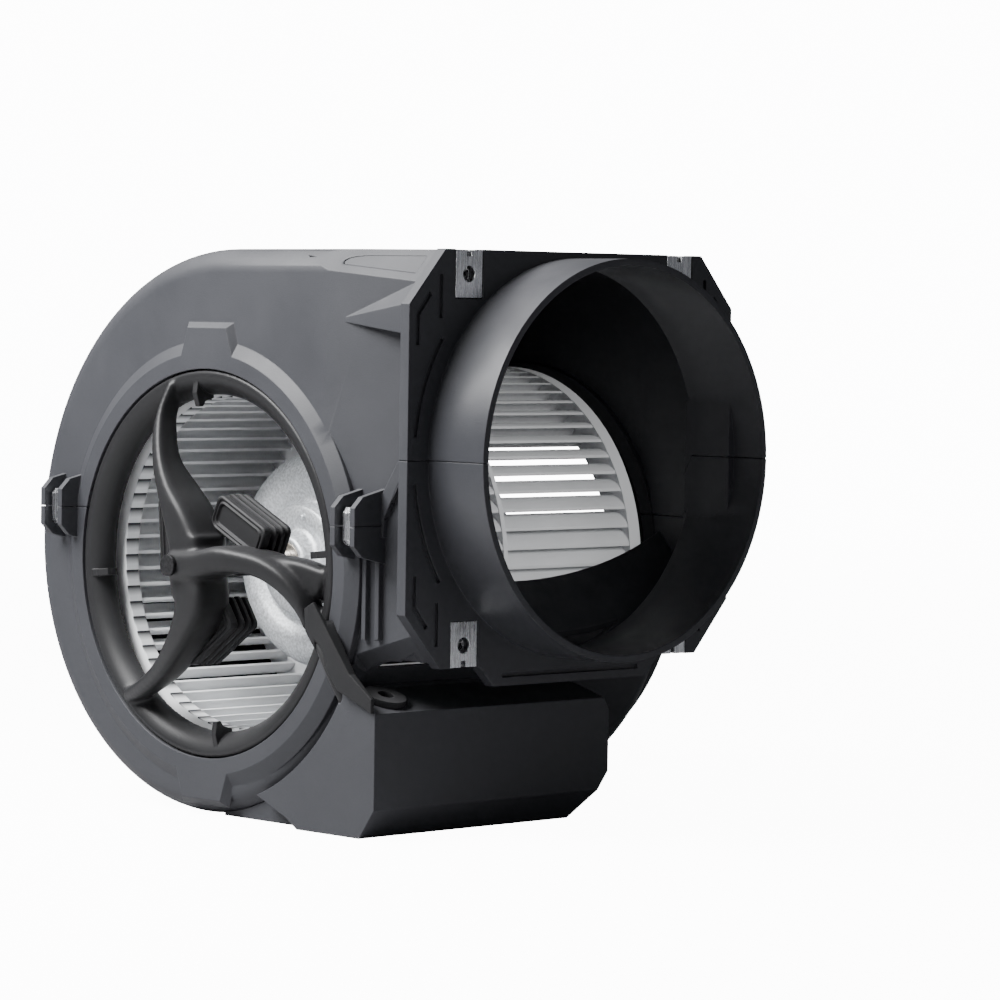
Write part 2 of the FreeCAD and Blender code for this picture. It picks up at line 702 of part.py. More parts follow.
def damper(number):
    """Rubber block with a rounded rectangular core recess and stepped flanks."""
    steps = ["damper_wide / 2", "damper_wide / 2 - 2.5"]
    corners = [("-damper_front", "-damper_wide / 2 + 2"), ("-damper_front", "damper_wide / 2 - 2")]
    length = "(damper_front - damper_back)"
    for index in range(4):
        x = f"-damper_front + {length} * {index} / 4"
        after = f"-damper_front + {length} * {index + 1} / 4"
        wide = steps[index % 2]
        corners += [(f"{x} + 0.6", wide), (f"{after} - 0.1", wide)]
    flank = corners[2:]
    corners += [(u, f"-({v})") for u, v in reversed(flank)]
    block = padded(f"damper_block_{number}", "XY_Plane", corners, "damper_thick",
                   "damper_radius - damper_thick / 2")
    recess = box(f"damper_recess_{number}", ["-damper_front - 1", "-damper_front + 1.5"],
                 ["-damper_core / 2", "damper_core / 2"],
                 ["damper_radius - 3.6", "damper_radius + 3.6"])
    made = cut(f"damper_{number}", block, recess)
    return made


for name, angle in (("upper_damper", 45), ("rear_damper", 165), ("lower_damper", 285)):
    node(name, on_axis(name, damper(name), angle - 90))

# ---------------------------------------------------------------- motor

near_posts = []
for number, angle in enumerate((45, 165, 285)):
    post = cylinder(f"damper_post_{number}", "5", "-damper_back + 0.1", "damper_back - cap_front + 1",
                    "X",
                    "0", "damper_radius")
    near_posts.append(on_axis(f"turned_post_{number}", post, angle - 90))
node("motor_cap_near", fuse("motor_cap_near", turned("near_cap_shell", [
    ("-cap_front - 6", "bearing_radius"), ("-cap_front - 6", "boss_radius"), ("-cap_front",
                                                                              "boss_radius"),
    ("-cap_front", "21"), ("-cap_front + 1.8", "22"), ("-cap_front + 1.8", "25"),
    ("-cap_front + 0.6", "27", "17", -1), ("-26", "motor_radius"), ("-20", "motor_radius"),
    ("-20", "core_radius"), ("core_front", "core_radius"), ("core_front", "38.5"), ("-27", "38.5"),
    ("-35.5", "27"), ("-35.5", "12"), ("-33", "12"), ("-33", "bearing_radius")]), *near_posts))
node("motor_cap_far", turned("motor_cap_far", [
    ("4", "core_radius"), ("4", "motor_radius"), ("9", "motor_radius", "17", -1), ("21", "28"),
    ("cap_far_end", "12"), ("cap_far_end", "bearing_radius"), ("12", "bearing_radius"), ("12", "12"),
    ("17.5", "13"), ("17", "27"), ("10", "38.5"), ("core_front + core_length", "38.5"),
    ("core_front + core_length", "core_radius")]))
for name, start, length in (("near_bearing", "-cap_front - 6", "13"), ("far_bearing", "12", "10")):
    node(name, cut(name, cylinder(name + "_bush", "bearing_radius", start, length),
                   cylinder(name + "_bore", "shaft_radius + 0.05", "-60", "120")))


def slot_corners(trim):
    """One winding slot of the stator, as (Y, Z) corners."""
    inner, outer = f"25 + 3 * {trim}", f"34 - {trim}"
    return [(inner, f"2.2 - {trim}"), (outer, f"3.6 - {trim}"),
            (outer, f"-3.6 + {trim}"), (inner, f"-2.2 + {trim}")]


def repeated(body, feature, count):
    """Repeat a feature round the X axis and make the result the body's tip."""
    pattern = body.newObject("PartDesign::PolarPattern", body.Name + "Pattern")
    pattern.Originals = [feature]
    pattern.Axis = (plane_of(body, "X_Axis"), [""])
    pattern.Angle = 360
    bind(pattern, Occurrences=count)
    body.Tip = pattern
    return pattern


def stator_core():
    """Laminated ring with slots for the windings."""
    body = turned("stator_core", [
        ("core_front", "bore_radius"), ("core_front", "core_radius"),
        ("core_front + core_length", "core_radius"), ("core_front + core_length", "bore_radius")],
        False)
    pocket = body.newObject("PartDesign::Pocket", "slot")
    pocket.Profile = outline(body, "YZ_Plane", slot_corners("0"), "core_front - 1")
    pocket.Reversed = True
    bind(pocket, Length="core_length + 2")
    repeated(body, pocket, "slot_count")
    place(body, 0, "axis_y", "axis_z")
    return body


def windings():
    """Copper coils: bars in the slots, and a bundle at each end."""
    bars = padded("winding_bars", "YZ_Plane", slot_corners("0.3"), "core_length + 4", "core_front - 2")
    repeated(bars, bars.Tip, "slot_count")
    bundles = []
    for name, start, end in (("near", "core_front - 7.5", "core_front - 0.8"),
                             ("far", "core_front + core_length + 0.8",
                              "core_front + core_length + 5.5")):
        bundles.append(turned(f"{name}_bundle", [
            (start, "24"), (start, "34.6"), (end, "34.6"), (end, "24")], False))
    return on_axis("stator_windings", fuse("winding_copper", bars, *bundles))


node("stator_core", stator_core())
node("stator_windings", windings())

bolts = []
for index in range(4):
    shank = cylinder(f"bolt_shank_{index}", "bolt_radius", "-31.5", "47", "X", "0", "bolt_circle")
    head = cylinder(f"bolt_head_{index}", "bolt_head_radius", "-34.5", "3", "X", "0", "bolt_circle")
    bolts.append(on_axis(f"turned_bolt_{index}", fuse(f"bolt_{index}", shank, head), 30 + 90 * index))
bolt_group = doc.addObject("Part::Compound", "motor_through_bolts")
bolt_group.Links = bolts
node("motor_through_bolts", bolt_group)
bolt_holes = []
bolt_seats = []
for index in range(4):
    hole = cylinder(f"bolt_hole_{index}", "bolt_radius + 0.05", "-60", "120", "X", "0", "bolt_circle")
    bolt_holes.append(on_axis(f"turned_hole_{index}", hole, 30 + 90 * index))
    seat = cylinder(f"bolt_seat_{index}", "bolt_head_radius + 0.2", "-60", "28.5", "X", "0",
                    "bolt_circle")
    bolt_seats.append(on_axis(f"turned_seat_{index}", seat, 30 + 90 * index))
for name in ("motor_cap_near", "motor_cap_far", "stator_core"):
    blank = NODES.pop(name)
    blank.Label = name + "_blank"
    tools = bolt_holes + bolt_seats if name == "motor_cap_near" else bolt_holes
    node(name, cut(name + "_drilled", blank, *tools))

# ---------------------------------------------------------------- rotor and wheel

node("motor_shaft", cylinder("motor_shaft", "shaft_radius", "shaft_front", "shaft_back - shaft_front"))
node("rotor_core", turned("rotor_core", [
    ("core_front", "shaft_radius"), ("core_front", "11"), ("core_front - 4", "12"), ("core_front - 4",
                                                                                     "20"),
    ("core_front", "20"), ("core_front", "rotor_radius"), ("core_front + core_length", "rotor_radius"),
    ("core_front + core_length", "20"), ("core_front + core_length + 4", "20"),
    ("core_front + core_length + 4", "12.6"), ("core_front + core_length", "11"),
    ("core_front + core_length", "shaft_radius")]))
node("wheel_disc", turned("wheel_disc", [
    ("-disc_thick / 2", "wheel_radius"), ("disc_thick / 2", "wheel_radius"), ("disc_thick / 2",
                                                                              "cup_mouth + 2"),
    ("cup_depth + disc_thick / 2", "cup_floor_radius + 2.2"), ("cup_depth + disc_thick / 2",
                                                               "hub_radius"),
    ("42", "hub_radius"), ("42", "bush_radius"), ("cup_depth - 4", "bush_radius"),
    ("cup_depth - 4", "hub_radius"), ("cup_depth - disc_thick / 2", "hub_radius + 1"),
    ("cup_depth - disc_thick / 2", "cup_floor_radius"), ("-disc_thick / 2", "cup_mouth")]))
node("wheel_bush", turned("wheel_bush", [
    ("cup_depth - 4", "shaft_radius"), ("cup_depth - 4", "bush_radius"), ("42", "bush_radius"),
    ("42", "shaft_radius")]))


def wheel_nut():
    """Hexagon nut that holds the wheel on the shaft."""
    corners = [(f"6.6 * cos({60 * index})", f"6.6 * sin({60 * index})") for index in range(6)]
    blank = padded("nut_blank", "YZ_Plane", corners, "4.6", "42")
    return cut("wheel_nut", on_axis("placed_nut", blank), cylinder("nut_bore", "shaft_radius", "40",
                                                                   "10"))


node("wheel_nut", wheel_nut())


def wheel_half(label):
    """Forward-curved blades and their end ring, on the +X side of the wheel's disc."""
    body = turned(label, [
        ("wheel_half - ring_thick", "blade_inner - 0.5"), ("wheel_half - ring_thick", "wheel_radius"),
        ("wheel_half", "wheel_radius"), ("wheel_half", "blade_inner - 0.5")], False)
    lead, thick = 5.5, "blade_thick"
    tip = "(wheel_radius - 0.3)"
    pad = body.newObject("PartDesign::Pad", label + "Blade")
    pad.Profile = outline(body, "YZ_Plane", [
        ("blade_inner", "0", "9", 1), (f"{tip} * cos({lead})", f"{tip} * sin({lead})"),
        (f"{tip} * cos({lead}) - 0.25", f"{tip} * sin({lead}) + {thick}", "8.4", -1),
        ("blade_inner + 0.2", thick)], "disc_thick / 2")
    bind(pad, Length="wheel_half - ring_thick - disc_thick / 2")
    repeated(body, pad, "blade_count")
    return body


far_blades = wheel_half("wheel_far_blades")
node("wheel_far_half", on_axis("wheel_far_half", far_blades))
node("wheel_near_half", on_axis("wheel_near_half", mirrored("wheel_near_blades", far_blades)))

# ---------------------------------------------------------------- control box

def box_solid(label, grow):
    """Control box as a solid, shrunk by a negative offset; its back follows the scroll."""
    side = padded(label + "_side", "YZ_Plane", [
        (f"box_front - {grow}", f"-box_shoulder_z + {grow}"), (f"box_wing_y - {grow}",
                                                               f"-box_wing_z + {grow}"),
        ("box_wing_y + 12", "-box_wing_z + 14"), ("box_back", "-100"), (f"box_back + {grow}",
                                                                        "-box_floor"),
        ("box_front + 8", "-box_floor"), (f"box_front - {grow}", "-box_floor + 11")], 400,
        symmetric=True)
    front = padded(label + "_front", "XZ_Plane", [
        (f"-box_left - {grow}", "-box_floor"), (f"box_right - 14 + {grow}", "-box_floor"),
        (f"box_right + {grow}", "-box_floor + 18"), (f"box_right + {grow}", "-box_shoulder_z - 5"),
        (f"box_right - 7 + {grow}", "-box_wing_z + 1"), (f"box_right - 7 + {grow}", "-60"),
        (f"-box_left - {grow}", "-60")], 400, symmetric=True)
    return common(label, side, front)


def on_wing(label, source):
    """A piece made round the Z axis and set upright on the box's sloping wing."""
    slope = math.degrees(math.atan2(value("box_shoulder_z - box_wing_z"),
                                    value("box_wing_y - box_front")))
    made = doc.addObject("Part::Compound", label)
    made.Links = [source]
    return place(made, "grommet_x", "(box_front + box_wing_y) / 2",
                 "-(box_shoulder_z + box_wing_z) / 2",
                 FreeCAD.Rotation(Vector(1, 0, 0), slope))


outer_cut = volute("volute_clear", "fit_gap")
inner_cut = volute("volute_box_wall", "(fit_gap + wall)")
side_clear = cylinder("collar_clear", "boss_reach + 1.5", "-100", "100 - collar_back + 1")
hollow_limit = fuse("hollow_limit", box("hollow_front", ["-100", "100"], ["0", "51"], ["-150", "-50"]),
                    box("hollow_rear", ["-77.5", "100"], ["50", "plate_back + 0.2"], ["-150", "-50"]))
box_shell = cut("box_shell", cut("box_outside", box_solid("box_blank", "0"), outer_cut, side_clear),
                cut("box_hollow", common("box_hollow_blank", box_solid("box_inner", "(-wall)"),
                                         hollow_limit), inner_cut,
                    cylinder("collar_wall", "boss_reach + 4", "-100", "100 - collar_back + 3.5")))
screw_spots = [("-81.5", "27"), ("-74.5", "68"), ("10", "27"), ("10", "62")]
boss_heights = ["9", "9", "60", "60"]
bosses = [cylinder(f"box_boss_{index}", "4", "-box_floor + plate_thick", boss_heights[index], "Z", x, y)
          for index, (x, y) in enumerate(screw_spots)]
boss_columns = common("boss_columns", fuse("boss_rods", *bosses), box_solid("boss_limit", "(-0.5)"))
boss_holes = [cylinder(f"boss_hole_{index}", "1.6", "-box_floor", "9", "Z", x, y)
              for index, (x, y) in enumerate(screw_spots)]
plate_layer = ["-box_floor", "-box_floor + plate_thick"]
plate_space = common("plate_space", box_solid("plate_outline", "(-wall - 0.2)"),
                     fuse("plate_layer", box("plate_front", ["-100", "100"], ["0", "50.8"],
                                             plate_layer),
                          box("plate_rear", ["-77.3", "100"], ["50", "plate_back"], plate_layer)))
rear_slope = padded("box_rear_slope", "YZ_Plane", [
    ("84", "-126.5"), ("62.3", "-135.5"), ("54", "-box_floor - 1"), ("110", "-box_floor - 1"), ("110",
        "-120")],
    "20", "-100")
node("control_box", cut("control_box", fuse("box_with_bosses", box_shell, boss_columns), outer_cut,
                        side_clear,
                        rear_slope,
                        *boss_holes,
                        on_wing("grommet_hole_turned", cylinder("grommet_hole", "6", "-8", "16", "Z",
                                                                0, 0))))
plate_holes = [cylinder(f"plate_hole_{index}", "1.8", "-box_floor - 1", "9", "Z", x, y)
               for index, (x, y) in enumerate(screw_spots)]
plate_seats = [cylinder(f"plate_seat_{index}", "3.4", "-box_floor - 1", "2.3", "Z", x, y)
               for index, (x, y) in enumerate(screw_spots)]
node("control_box_plate", cut("control_box_plate", plate_space, rear_slope, *plate_holes, *plate_seats))
screws = []
for index, (x, y) in enumerate(screw_spots):
    screws.append(fuse(f"box_screw_{index}",
                       cylinder(f"screw_shank_{index}", "1.55", "-box_floor + 0.3", "8.4", "Z", x, y),
                       cylinder(f"screw_head_{index}", "3.1", "-box_floor + 0.1", "1.15", "Z", x, y)))
screw_group = doc.addObject("Part::Compound", "control_box_screws")
screw_group.Links = screws
node("control_box_screws", screw_group)



def along_capacitor(label, radius, start, length):
    """A cylinder on the capacitor's own axis."""
    return cylinder(label, radius, start, length, "X", "capacitor_y", "capacitor_z")


node("run_capacitor", fuse("run_capacitor",
                           along_capacitor("capacitor_can", "capacitor_radius", "-50",
                                           "capacitor_length"),
                           along_capacitor("capacitor_stud", "3", "-50 + capacitor_length", "5")))
clamp_blank = fuse("clamp_blank", along_capacitor("clamp_band", "capacitor_radius + 1.2", "-26", "9"),
                   box("clamp_foot", ["-26", "-17"], ["26", "37"], ["-box_floor + plate_thick",
                                                                    "-130"]))
node("capacitor_clamp", cut("capacitor_clamp", clamp_blank,
                            along_capacitor("clamp_bore", "capacitor_radius", "-40", "60")))
terminal = box("terminal_body", ["-73.5", "-51.5"], ["22", "36"], ["-box_floor + plate_thick", "-124"])
terminal_holes = [cylinder(f"terminal_hole_{index}", "1.7", "-141", "20", "Z",
                           f"-70.6 + {index} * 5.4", "29")
                  for index in range(4)]
node("terminal_block", cut("terminal_block", terminal, *terminal_holes))
grommet = fuse("grommet_blank", cylinder("grommet_collar", "8", "0.05", "2.6", "Z", 0, 0),
               cylinder("grommet_neck", "5.9", "-5", "5.2", "Z", 0, 0))
node("cable_grommet", on_wing("cable_grommet", cut("grommet_bored", grommet,
                                                   cylinder("grommet_bore", "3", "-10", "20", "Z", 0,
                                                            0))))

# ---------------------------------------------------------------- motor lead and its cover

LEAD_ROUTE = [(-35.0, 78.5, -52.2), (-77.0, 65.0, -55.6), (-86.5, 53.0, -57.5),
              (-90.6, 43.5, -63.0), (-90.9, 36.0, -76.0), (-84.0, 31.5, -93.0), (-67.0, 29.0, -121.0)]


def routed_tube(label, route, radius):
    """A tube along straight runs joined by tangent arcs as large as the runs allow."""
    points = [Vector(*point) for point in route]
    edges, start = [], points[0]
    for before, corner, after in zip(points, points[1:], points[2:]):
        into = (corner - before).normalize()
        onward = (after - corner).normalize()
        reach = 0.45 * min((corner - before).Length, (after - corner).Length)
        first, last = corner - into * reach, corner + onward * reach
        half_turn = into.getAngle(onward) / 2
        bend = reach / math.tan(half_turn)
        inward = (onward - into).normalize()
        middle = corner + inward * (bend / math.cos(half_turn) - bend)
        edges += [Part.LineSegment(start, first).toShape(), Part.Arc(first, middle, last).toShape()]
        start = last
    edges.append(Part.LineSegment(start, points[-1]).toShape())
    path = Part.Wire(edges)
    profile = Part.Wire([Part.Circle(points[0], points[1] - points[0], radius).toShape()])
    tube = doc.addObject("Part::Feature", label)
    tube.Shape = path.makePipeShell([profile], True, True)
    return tube


node("motor_lead", routed_tube("motor_lead", LEAD_ROUTE, SIZES["lead_radius"]))


def lead_cover():
    """Channel that hides the lead between the inlet ring and the control box."""
    outer = padded("cover_outer", "YZ_Plane", [
        ("41.6", "-53.5"), ("46", "-56"), ("45.3", "-64.2"), ("29.5", "-85.3"), ("box_front + 0.6",
                                                                                 "-92.6"),
        ("box_front + 0.6", "-87.6"), ("24", "-79")], "8", "-inlet_plane - 8")
    inside = padded("cover_inner", "YZ_Plane", [
        ("43", "-50"), ("50", "-56"), ("44", "-63.6"), ("29", "-83.6"), ("20", "-88"), ("25.6",
                                                                                        "-79.5")],
        "12", "-inlet_plane - 10")
    face = padded("cover_face", "XY_Plane", [
        ("-inlet_plane - 0.2", "box_front"), ("-inlet_plane - 1.4", "box_front"),
        ("-inlet_plane - 6.1", "44"),
        ("-inlet_plane - 6.1", "60"), ("-inlet_plane - 0.2", "60")], 300, symmetric=True)
    hollow = padded("cover_hollow", "XY_Plane", [
        ("-inlet_plane + 1", "box_front"), ("-inlet_plane - 0.2", "box_front + 4"),
        ("-inlet_plane - 5", "44"),
        ("-inlet_plane - 5", "60"), ("-inlet_plane + 1", "60")], 300, symmetric=True)
    return cut("lead_cover", common("cover_blank", outer, face), common("cover_space", inside, hollow))


node("lead_cover", lead_cover())
lead_clearance = routed_tube("lead_clearance", LEAD_ROUTE, SIZES["lead_space"])


def trimmed(name, tool, suffix):
    """Replace a node by what is left of it beside another piece."""
    blank = NODES.pop(name)
    blank.Label = f"{name}_before_{suffix}"
    node(name, cut(f"{name}_after_{suffix}", blank, tool))


for name in ("motor_support", "motor_cap_near", "control_box", "lead_cover"):
    trimmed(name, lead_clearance, "lead")
trimmed("lead_cover", NODES["motor_support"], "support")

# ---------------------------------------------------------------- checks and files

doc.recompute()
failed = [thing.Label for thing in doc.Objects if "Invalid" in thing.State or "Error" in thing.State]
if failed:
    raise RuntimeError(f"failed: {failed}")
os.makedirs("parts", exist_ok=True)
for name, made in NODES.items():
    shape = made.Shape
    if shape.isNull() or not shape.isValid() or not shape.Solids:
        raise RuntimeError(f"{name} has no valid solid")
    shape.exportStep(f"parts/{name}.step")
    print(f"{name:22s} solids {len(shape.Solids):3d}  volume {shape.Volume / 1000:9.2f} cm3")
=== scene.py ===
import math

import bmesh
import bpy
from bpy.props import FloatProperty, FloatVectorProperty, IntProperty, PointerProperty
from mathutils import Matrix, Vector


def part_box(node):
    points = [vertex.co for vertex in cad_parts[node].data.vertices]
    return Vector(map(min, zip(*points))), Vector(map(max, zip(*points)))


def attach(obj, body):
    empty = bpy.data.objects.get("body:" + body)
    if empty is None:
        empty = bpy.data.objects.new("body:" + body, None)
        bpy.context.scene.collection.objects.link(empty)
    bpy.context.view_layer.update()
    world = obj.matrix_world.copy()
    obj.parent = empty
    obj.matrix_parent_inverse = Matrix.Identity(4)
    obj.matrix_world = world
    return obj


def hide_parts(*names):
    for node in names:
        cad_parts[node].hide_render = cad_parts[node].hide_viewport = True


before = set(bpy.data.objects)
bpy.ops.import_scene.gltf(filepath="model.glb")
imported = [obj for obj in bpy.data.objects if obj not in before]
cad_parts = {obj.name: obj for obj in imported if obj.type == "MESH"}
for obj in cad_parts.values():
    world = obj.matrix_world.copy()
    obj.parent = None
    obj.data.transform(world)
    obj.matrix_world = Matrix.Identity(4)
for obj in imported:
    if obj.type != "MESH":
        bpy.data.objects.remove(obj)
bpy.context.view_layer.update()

bl_info = {
    "name": "Extractor blower unit",
    "version": (1, 0, 0),
    "blender": (4, 5, 0),
    "location": "3D View > Sidebar > Blower",
    "description": "Finishes and moulded pieces for a double-inlet extractor blower",
    "category": "Object",
}

# Places that everything else is worked out from, in metres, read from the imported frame.
MM = 0.001
SHAFT_LOW, SHAFT_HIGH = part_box("motor_shaft")
AXIS_Y = (SHAFT_LOW.y + SHAFT_HIGH.y) / 2
AXIS_Z = (SHAFT_LOW.z + SHAFT_HIGH.z) / 2
FLOOR_Z = min(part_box("control_box")[0].z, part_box("lower_shell")[0].z)


# ---------------------------------------------------------------- settings

class BlowerFinish(bpy.types.PropertyGroup):
    """Colours of the blower's finishes."""
    housing: FloatVectorProperty(
        name="Housing", description="Colour of the two moulded shells",
        subtype="COLOR", size=3, min=0, max=1, default=(0.034, 0.035, 0.040))
    support: FloatVectorProperty(
        name="Support", description="Colour of the motor support and inlet rings",
        subtype="COLOR", size=3, min=0, max=1, default=(0.014, 0.014, 0.015))
    wheel: FloatVectorProperty(
        name="Wheel", description="Colour of the squirrel-cage wheel",
        subtype="COLOR", size=3, min=0, max=1, default=(0.80, 0.81, 0.82))
    rubber: FloatVectorProperty(
        name="Rubber", description="Colour of the vibration dampers",
        subtype="COLOR", size=3, min=0, max=1, default=(0.008, 0.008, 0.009))
    casting: FloatVectorProperty(
        name="Casting", description="Colour of the motor's cast end caps",
        subtype="COLOR", size=3, min=0, max=1, default=(0.66, 0.68, 0.70))


class BlowerStage(bpy.types.PropertyGroup):
    """Camera and light of the studio."""
    lens: FloatProperty(
        name="Lens", description="Focal length of the camera, in millimetres on a 36 mm sensor",
        min=10, default=150.1)
    yaw: FloatProperty(
        name="Yaw", description="Turn of the camera from the outlet's axis",
        subtype="ANGLE", default=math.radians(43.87))
    pitch: FloatProperty(
        name="Pitch", description="How far the camera looks down",
        subtype="ANGLE", default=math.radians(2.56))
    roll: FloatProperty(
        name="Roll", description="How far the camera leans",
        subtype="ANGLE", default=math.radians(0.88))
    place: FloatVectorProperty(
        name="Place", description="Where the camera stands",
        subtype="TRANSLATION", unit="LENGTH", size=3, default=(-1.1067, -1.1113, 0.0539))
    key_power: FloatProperty(
        name="Key light", description="Power of the large soft light on the inlet side, in watts",
        min=0, default=21.0)


# ---------------------------------------------------------------- node helpers

def add(tree, kind, place=(0, 0), **settings):
    """A node with its settings; a setting whose name is a socket sets that socket."""
    made = tree.nodes.new(kind)
    made.location = place
    for name, value in settings.items():
        setattr(made, name, value)
    return made


def wire(tree, start, end):
    """Link an output to an input."""
    tree.links.new(start, end)


def group_tree(name, inputs, outputs):
    """A shader node group with named sockets: inputs are (name, kind, default)."""
    tree = bpy.data.node_groups.new(name, "ShaderNodeTree")
    for label, kind, default in inputs:
        socket = tree.interface.new_socket(label, in_out="INPUT", socket_type=kind)
        if default is not None:
            socket.default_value = default
    for label, kind in outputs:
        tree.interface.new_socket(label, in_out="OUTPUT", socket_type=kind)
    return tree, tree.nodes.new("NodeGroupInput"), tree.nodes.new("NodeGroupOutput")


def moulded_grain():
    """Fine spark-eroded texture of moulded plastic, with broad changes of tone."""
    tree, given, put = group_tree(
        "Moulded grain",
        [("Fineness", "NodeSocketFloat", 1800.0), ("Patch", "NodeSocketFloat", 22.0)],
        [("Height", "NodeSocketFloat"), ("Tone", "NodeSocketFloat")])
    where = add(tree, "ShaderNodeTexCoord")
    fine = add(tree, "ShaderNodeTexNoise")
    fine.inputs["Detail"].default_value = 3.0
    wire(tree, where.outputs["Object"], fine.inputs["Vector"])
    wire(tree, given.outputs["Fineness"], fine.inputs["Scale"])
    broad = add(tree, "ShaderNodeTexNoise")
    broad.inputs["Detail"].default_value = 5.0
    broad.inputs["Roughness"].default_value = 0.6
    wire(tree, where.outputs["Object"], broad.inputs["Vector"])
    wire(tree, given.outputs["Patch"], broad.inputs["Scale"])
    wire(tree, fine.outputs["Fac"], put.inputs["Height"])
    wire(tree, broad.outputs["Fac"], put.inputs["Tone"])
    return tree


def edge_wear():
    """Softened normal at the edges, and a mask of where hands and tools rub them."""
    tree, given, put = group_tree(
        "Edge wear",
        [("Radius", "NodeSocketFloat", 0.0006), ("Gain", "NodeSocketFloat", 3.0)],
        [("Mask", "NodeSocketFloat"), ("Normal", "NodeSocketVector")])
    soft = add(tree, "ShaderNodeBevel", samples=6)
    wire(tree, given.outputs["Radius"], soft.inputs["Radius"])
    flat = add(tree, "ShaderNodeNewGeometry")
    match = add(tree, "ShaderNodeVectorMath", operation="DOT_PRODUCT")
    wire(tree, soft.outputs["Normal"], match.inputs[0])
    wire(tree, flat.outputs["Normal"], match.inputs[1])
    away = add(tree, "ShaderNodeMath", operation="SUBTRACT")
    away.inputs[0].default_value = 1.0
    wire(tree, match.outputs["Value"], away.inputs[1])
    gained = add(tree, "ShaderNodeMath", operation="MULTIPLY", use_clamp=True)
    wire(tree, away.outputs["Value"], gained.inputs[0])
    wire(tree, given.outputs["Gain"], gained.inputs[1])
    patchy = add(tree, "ShaderNodeTexNoise")
    patchy.inputs["Scale"].default_value = 120.0
    where = add(tree, "ShaderNodeTexCoord")
    wire(tree, where.outputs["Object"], patchy.inputs["Vector"])
    rubbed = add(tree, "ShaderNodeMath", operation="MULTIPLY")
    wire(tree, gained.outputs["Value"], rubbed.inputs[0])
    wire(tree, patchy.outputs["Fac"], rubbed.inputs[1])
    wire(tree, rubbed.outputs["Value"], put.inputs["Mask"])
    wire(tree, soft.outputs["Normal"], put.inputs["Normal"])
    return tree


def settled_dust():
    """Mask of the thin dust that lies on faces that look up."""
    tree, given, put = group_tree(
        "Settled dust", [("Amount", "NodeSocketFloat", 0.3)], [("Mask", "NodeSocketFloat")])
    flat = add(tree, "ShaderNodeNewGeometry")
    parts = add(tree, "ShaderNodeSeparateXYZ")
    wire(tree, flat.outputs["Normal"], parts.inputs["Vector"])
    up = add(tree, "ShaderNodeMapRange")
    up.inputs["From Min"].default_value = 0.2
    up.inputs["From Max"].default_value = 1.0
    wire(tree, parts.outputs["Z"], up.inputs["Value"])
    where = add(tree, "ShaderNodeTexCoord")
    cloud = add(tree, "ShaderNodeTexNoise")
    cloud.inputs["Scale"].default_value = 60.0
    cloud.inputs["Detail"].default_value = 6.0
    wire(tree, where.outputs["Object"], cloud.inputs["Vector"])
    both = add(tree, "ShaderNodeMath", operation="MULTIPLY")
    wire(tree, up.outputs["Result"], both.inputs[0])
    wire(tree, cloud.outputs["Fac"], both.inputs[1])
    scaled = add(tree, "ShaderNodeMath", operation="MULTIPLY")
    wire(tree, both.outputs["Value"], scaled.inputs[0])
    wire(tree, given.outputs["Amount"], scaled.inputs[1])
    wire(tree, scaled.outputs["Value"], put.inputs["Mask"])
    return tree


def metal_flecks():
    """Bright and dark flecks of a raw casting or a rolled sheet, stretched along an axis."""
    tree, given, put = group_tree(
        "Metal flecks",
        [("Stretch", "NodeSocketVector", (900.0, 900.0, 900.0)), ("Dents", "NodeSocketFloat", 260.0)],
        [("Fleck", "NodeSocketFloat"), ("Height", "NodeSocketFloat")])
    where = add(tree, "ShaderNodeTexCoord")
    scaled = add(tree, "ShaderNodeVectorMath", operation="MULTIPLY")
    wire(tree, where.outputs["Object"], scaled.inputs[0])
    wire(tree, given.outputs["Stretch"], scaled.inputs[1])
    fleck = add(tree, "ShaderNodeTexNoise")
    fleck.inputs["Scale"].default_value = 1.0
    fleck.inputs["Detail"].default_value = 2.0
    wire(tree, scaled.outputs["Vector"], fleck.inputs["Vector"])
    dents = add(tree, "ShaderNodeTexVoronoi")
    wire(tree, where.outputs["Object"], dents.inputs["Vector"])
    wire(tree, given.outputs["Dents"], dents.inputs["Scale"])
    wire(tree, fleck.outputs["Fac"], put.inputs["Fleck"])
    wire(tree, dents.outputs["Distance"], put.inputs["Height"])
    return tree


GROUPS = {}


def group(name):
    """The shared node group of that name, made the first time it is asked for."""
    makers = {"Moulded grain": moulded_grain, "Edge wear": edge_wear,
              "Settled dust": settled_dust, "Metal flecks": metal_flecks}
    if name not in GROUPS:
        GROUPS[name] = makers[name]()
    return GROUPS[name]


def placed_group(tree, name, **values):
    """A shared group in a material, with its own values."""
    made = tree.nodes.new("ShaderNodeGroup")
    made.node_tree = group(name)
    for label, value in values.items():
        made.inputs[label].default_value = value
    return made


def new_material(name):
    """A node material with its Principled shader."""
    made = bpy.data.materials.new(name)
    made.use_nodes = True
    return made, made.node_tree, made.node_tree.nodes["Principled BSDF"]


def mixed(tree, first, second, mask):
    """Mix of two colours by a mask; each is a colour or a socket."""
    made = add(tree, "ShaderNodeMix", data_type="RGBA")
    for index, given in ((6, first), (7, second)):
        if isinstance(given, bpy.types.NodeSocket):
            wire(tree, given, made.inputs[index])
        else:
            made.inputs[index].default_value = (*given, 1.0)
    wire(tree, mask, made.inputs[0])
    return made.outputs[2]


def ranged(tree, source, low, high, start=0.0, stop=1.0):
    """A value taken from one range to another."""
    made = add(tree, "ShaderNodeMapRange")
    made.inputs["From Min"].default_value = start
    made.inputs["From Max"].default_value = stop
    made.inputs["To Min"].default_value = low
    made.inputs["To Max"].default_value = high
    wire(tree, source, made.inputs["Value"])
    return made.outputs["Result"]


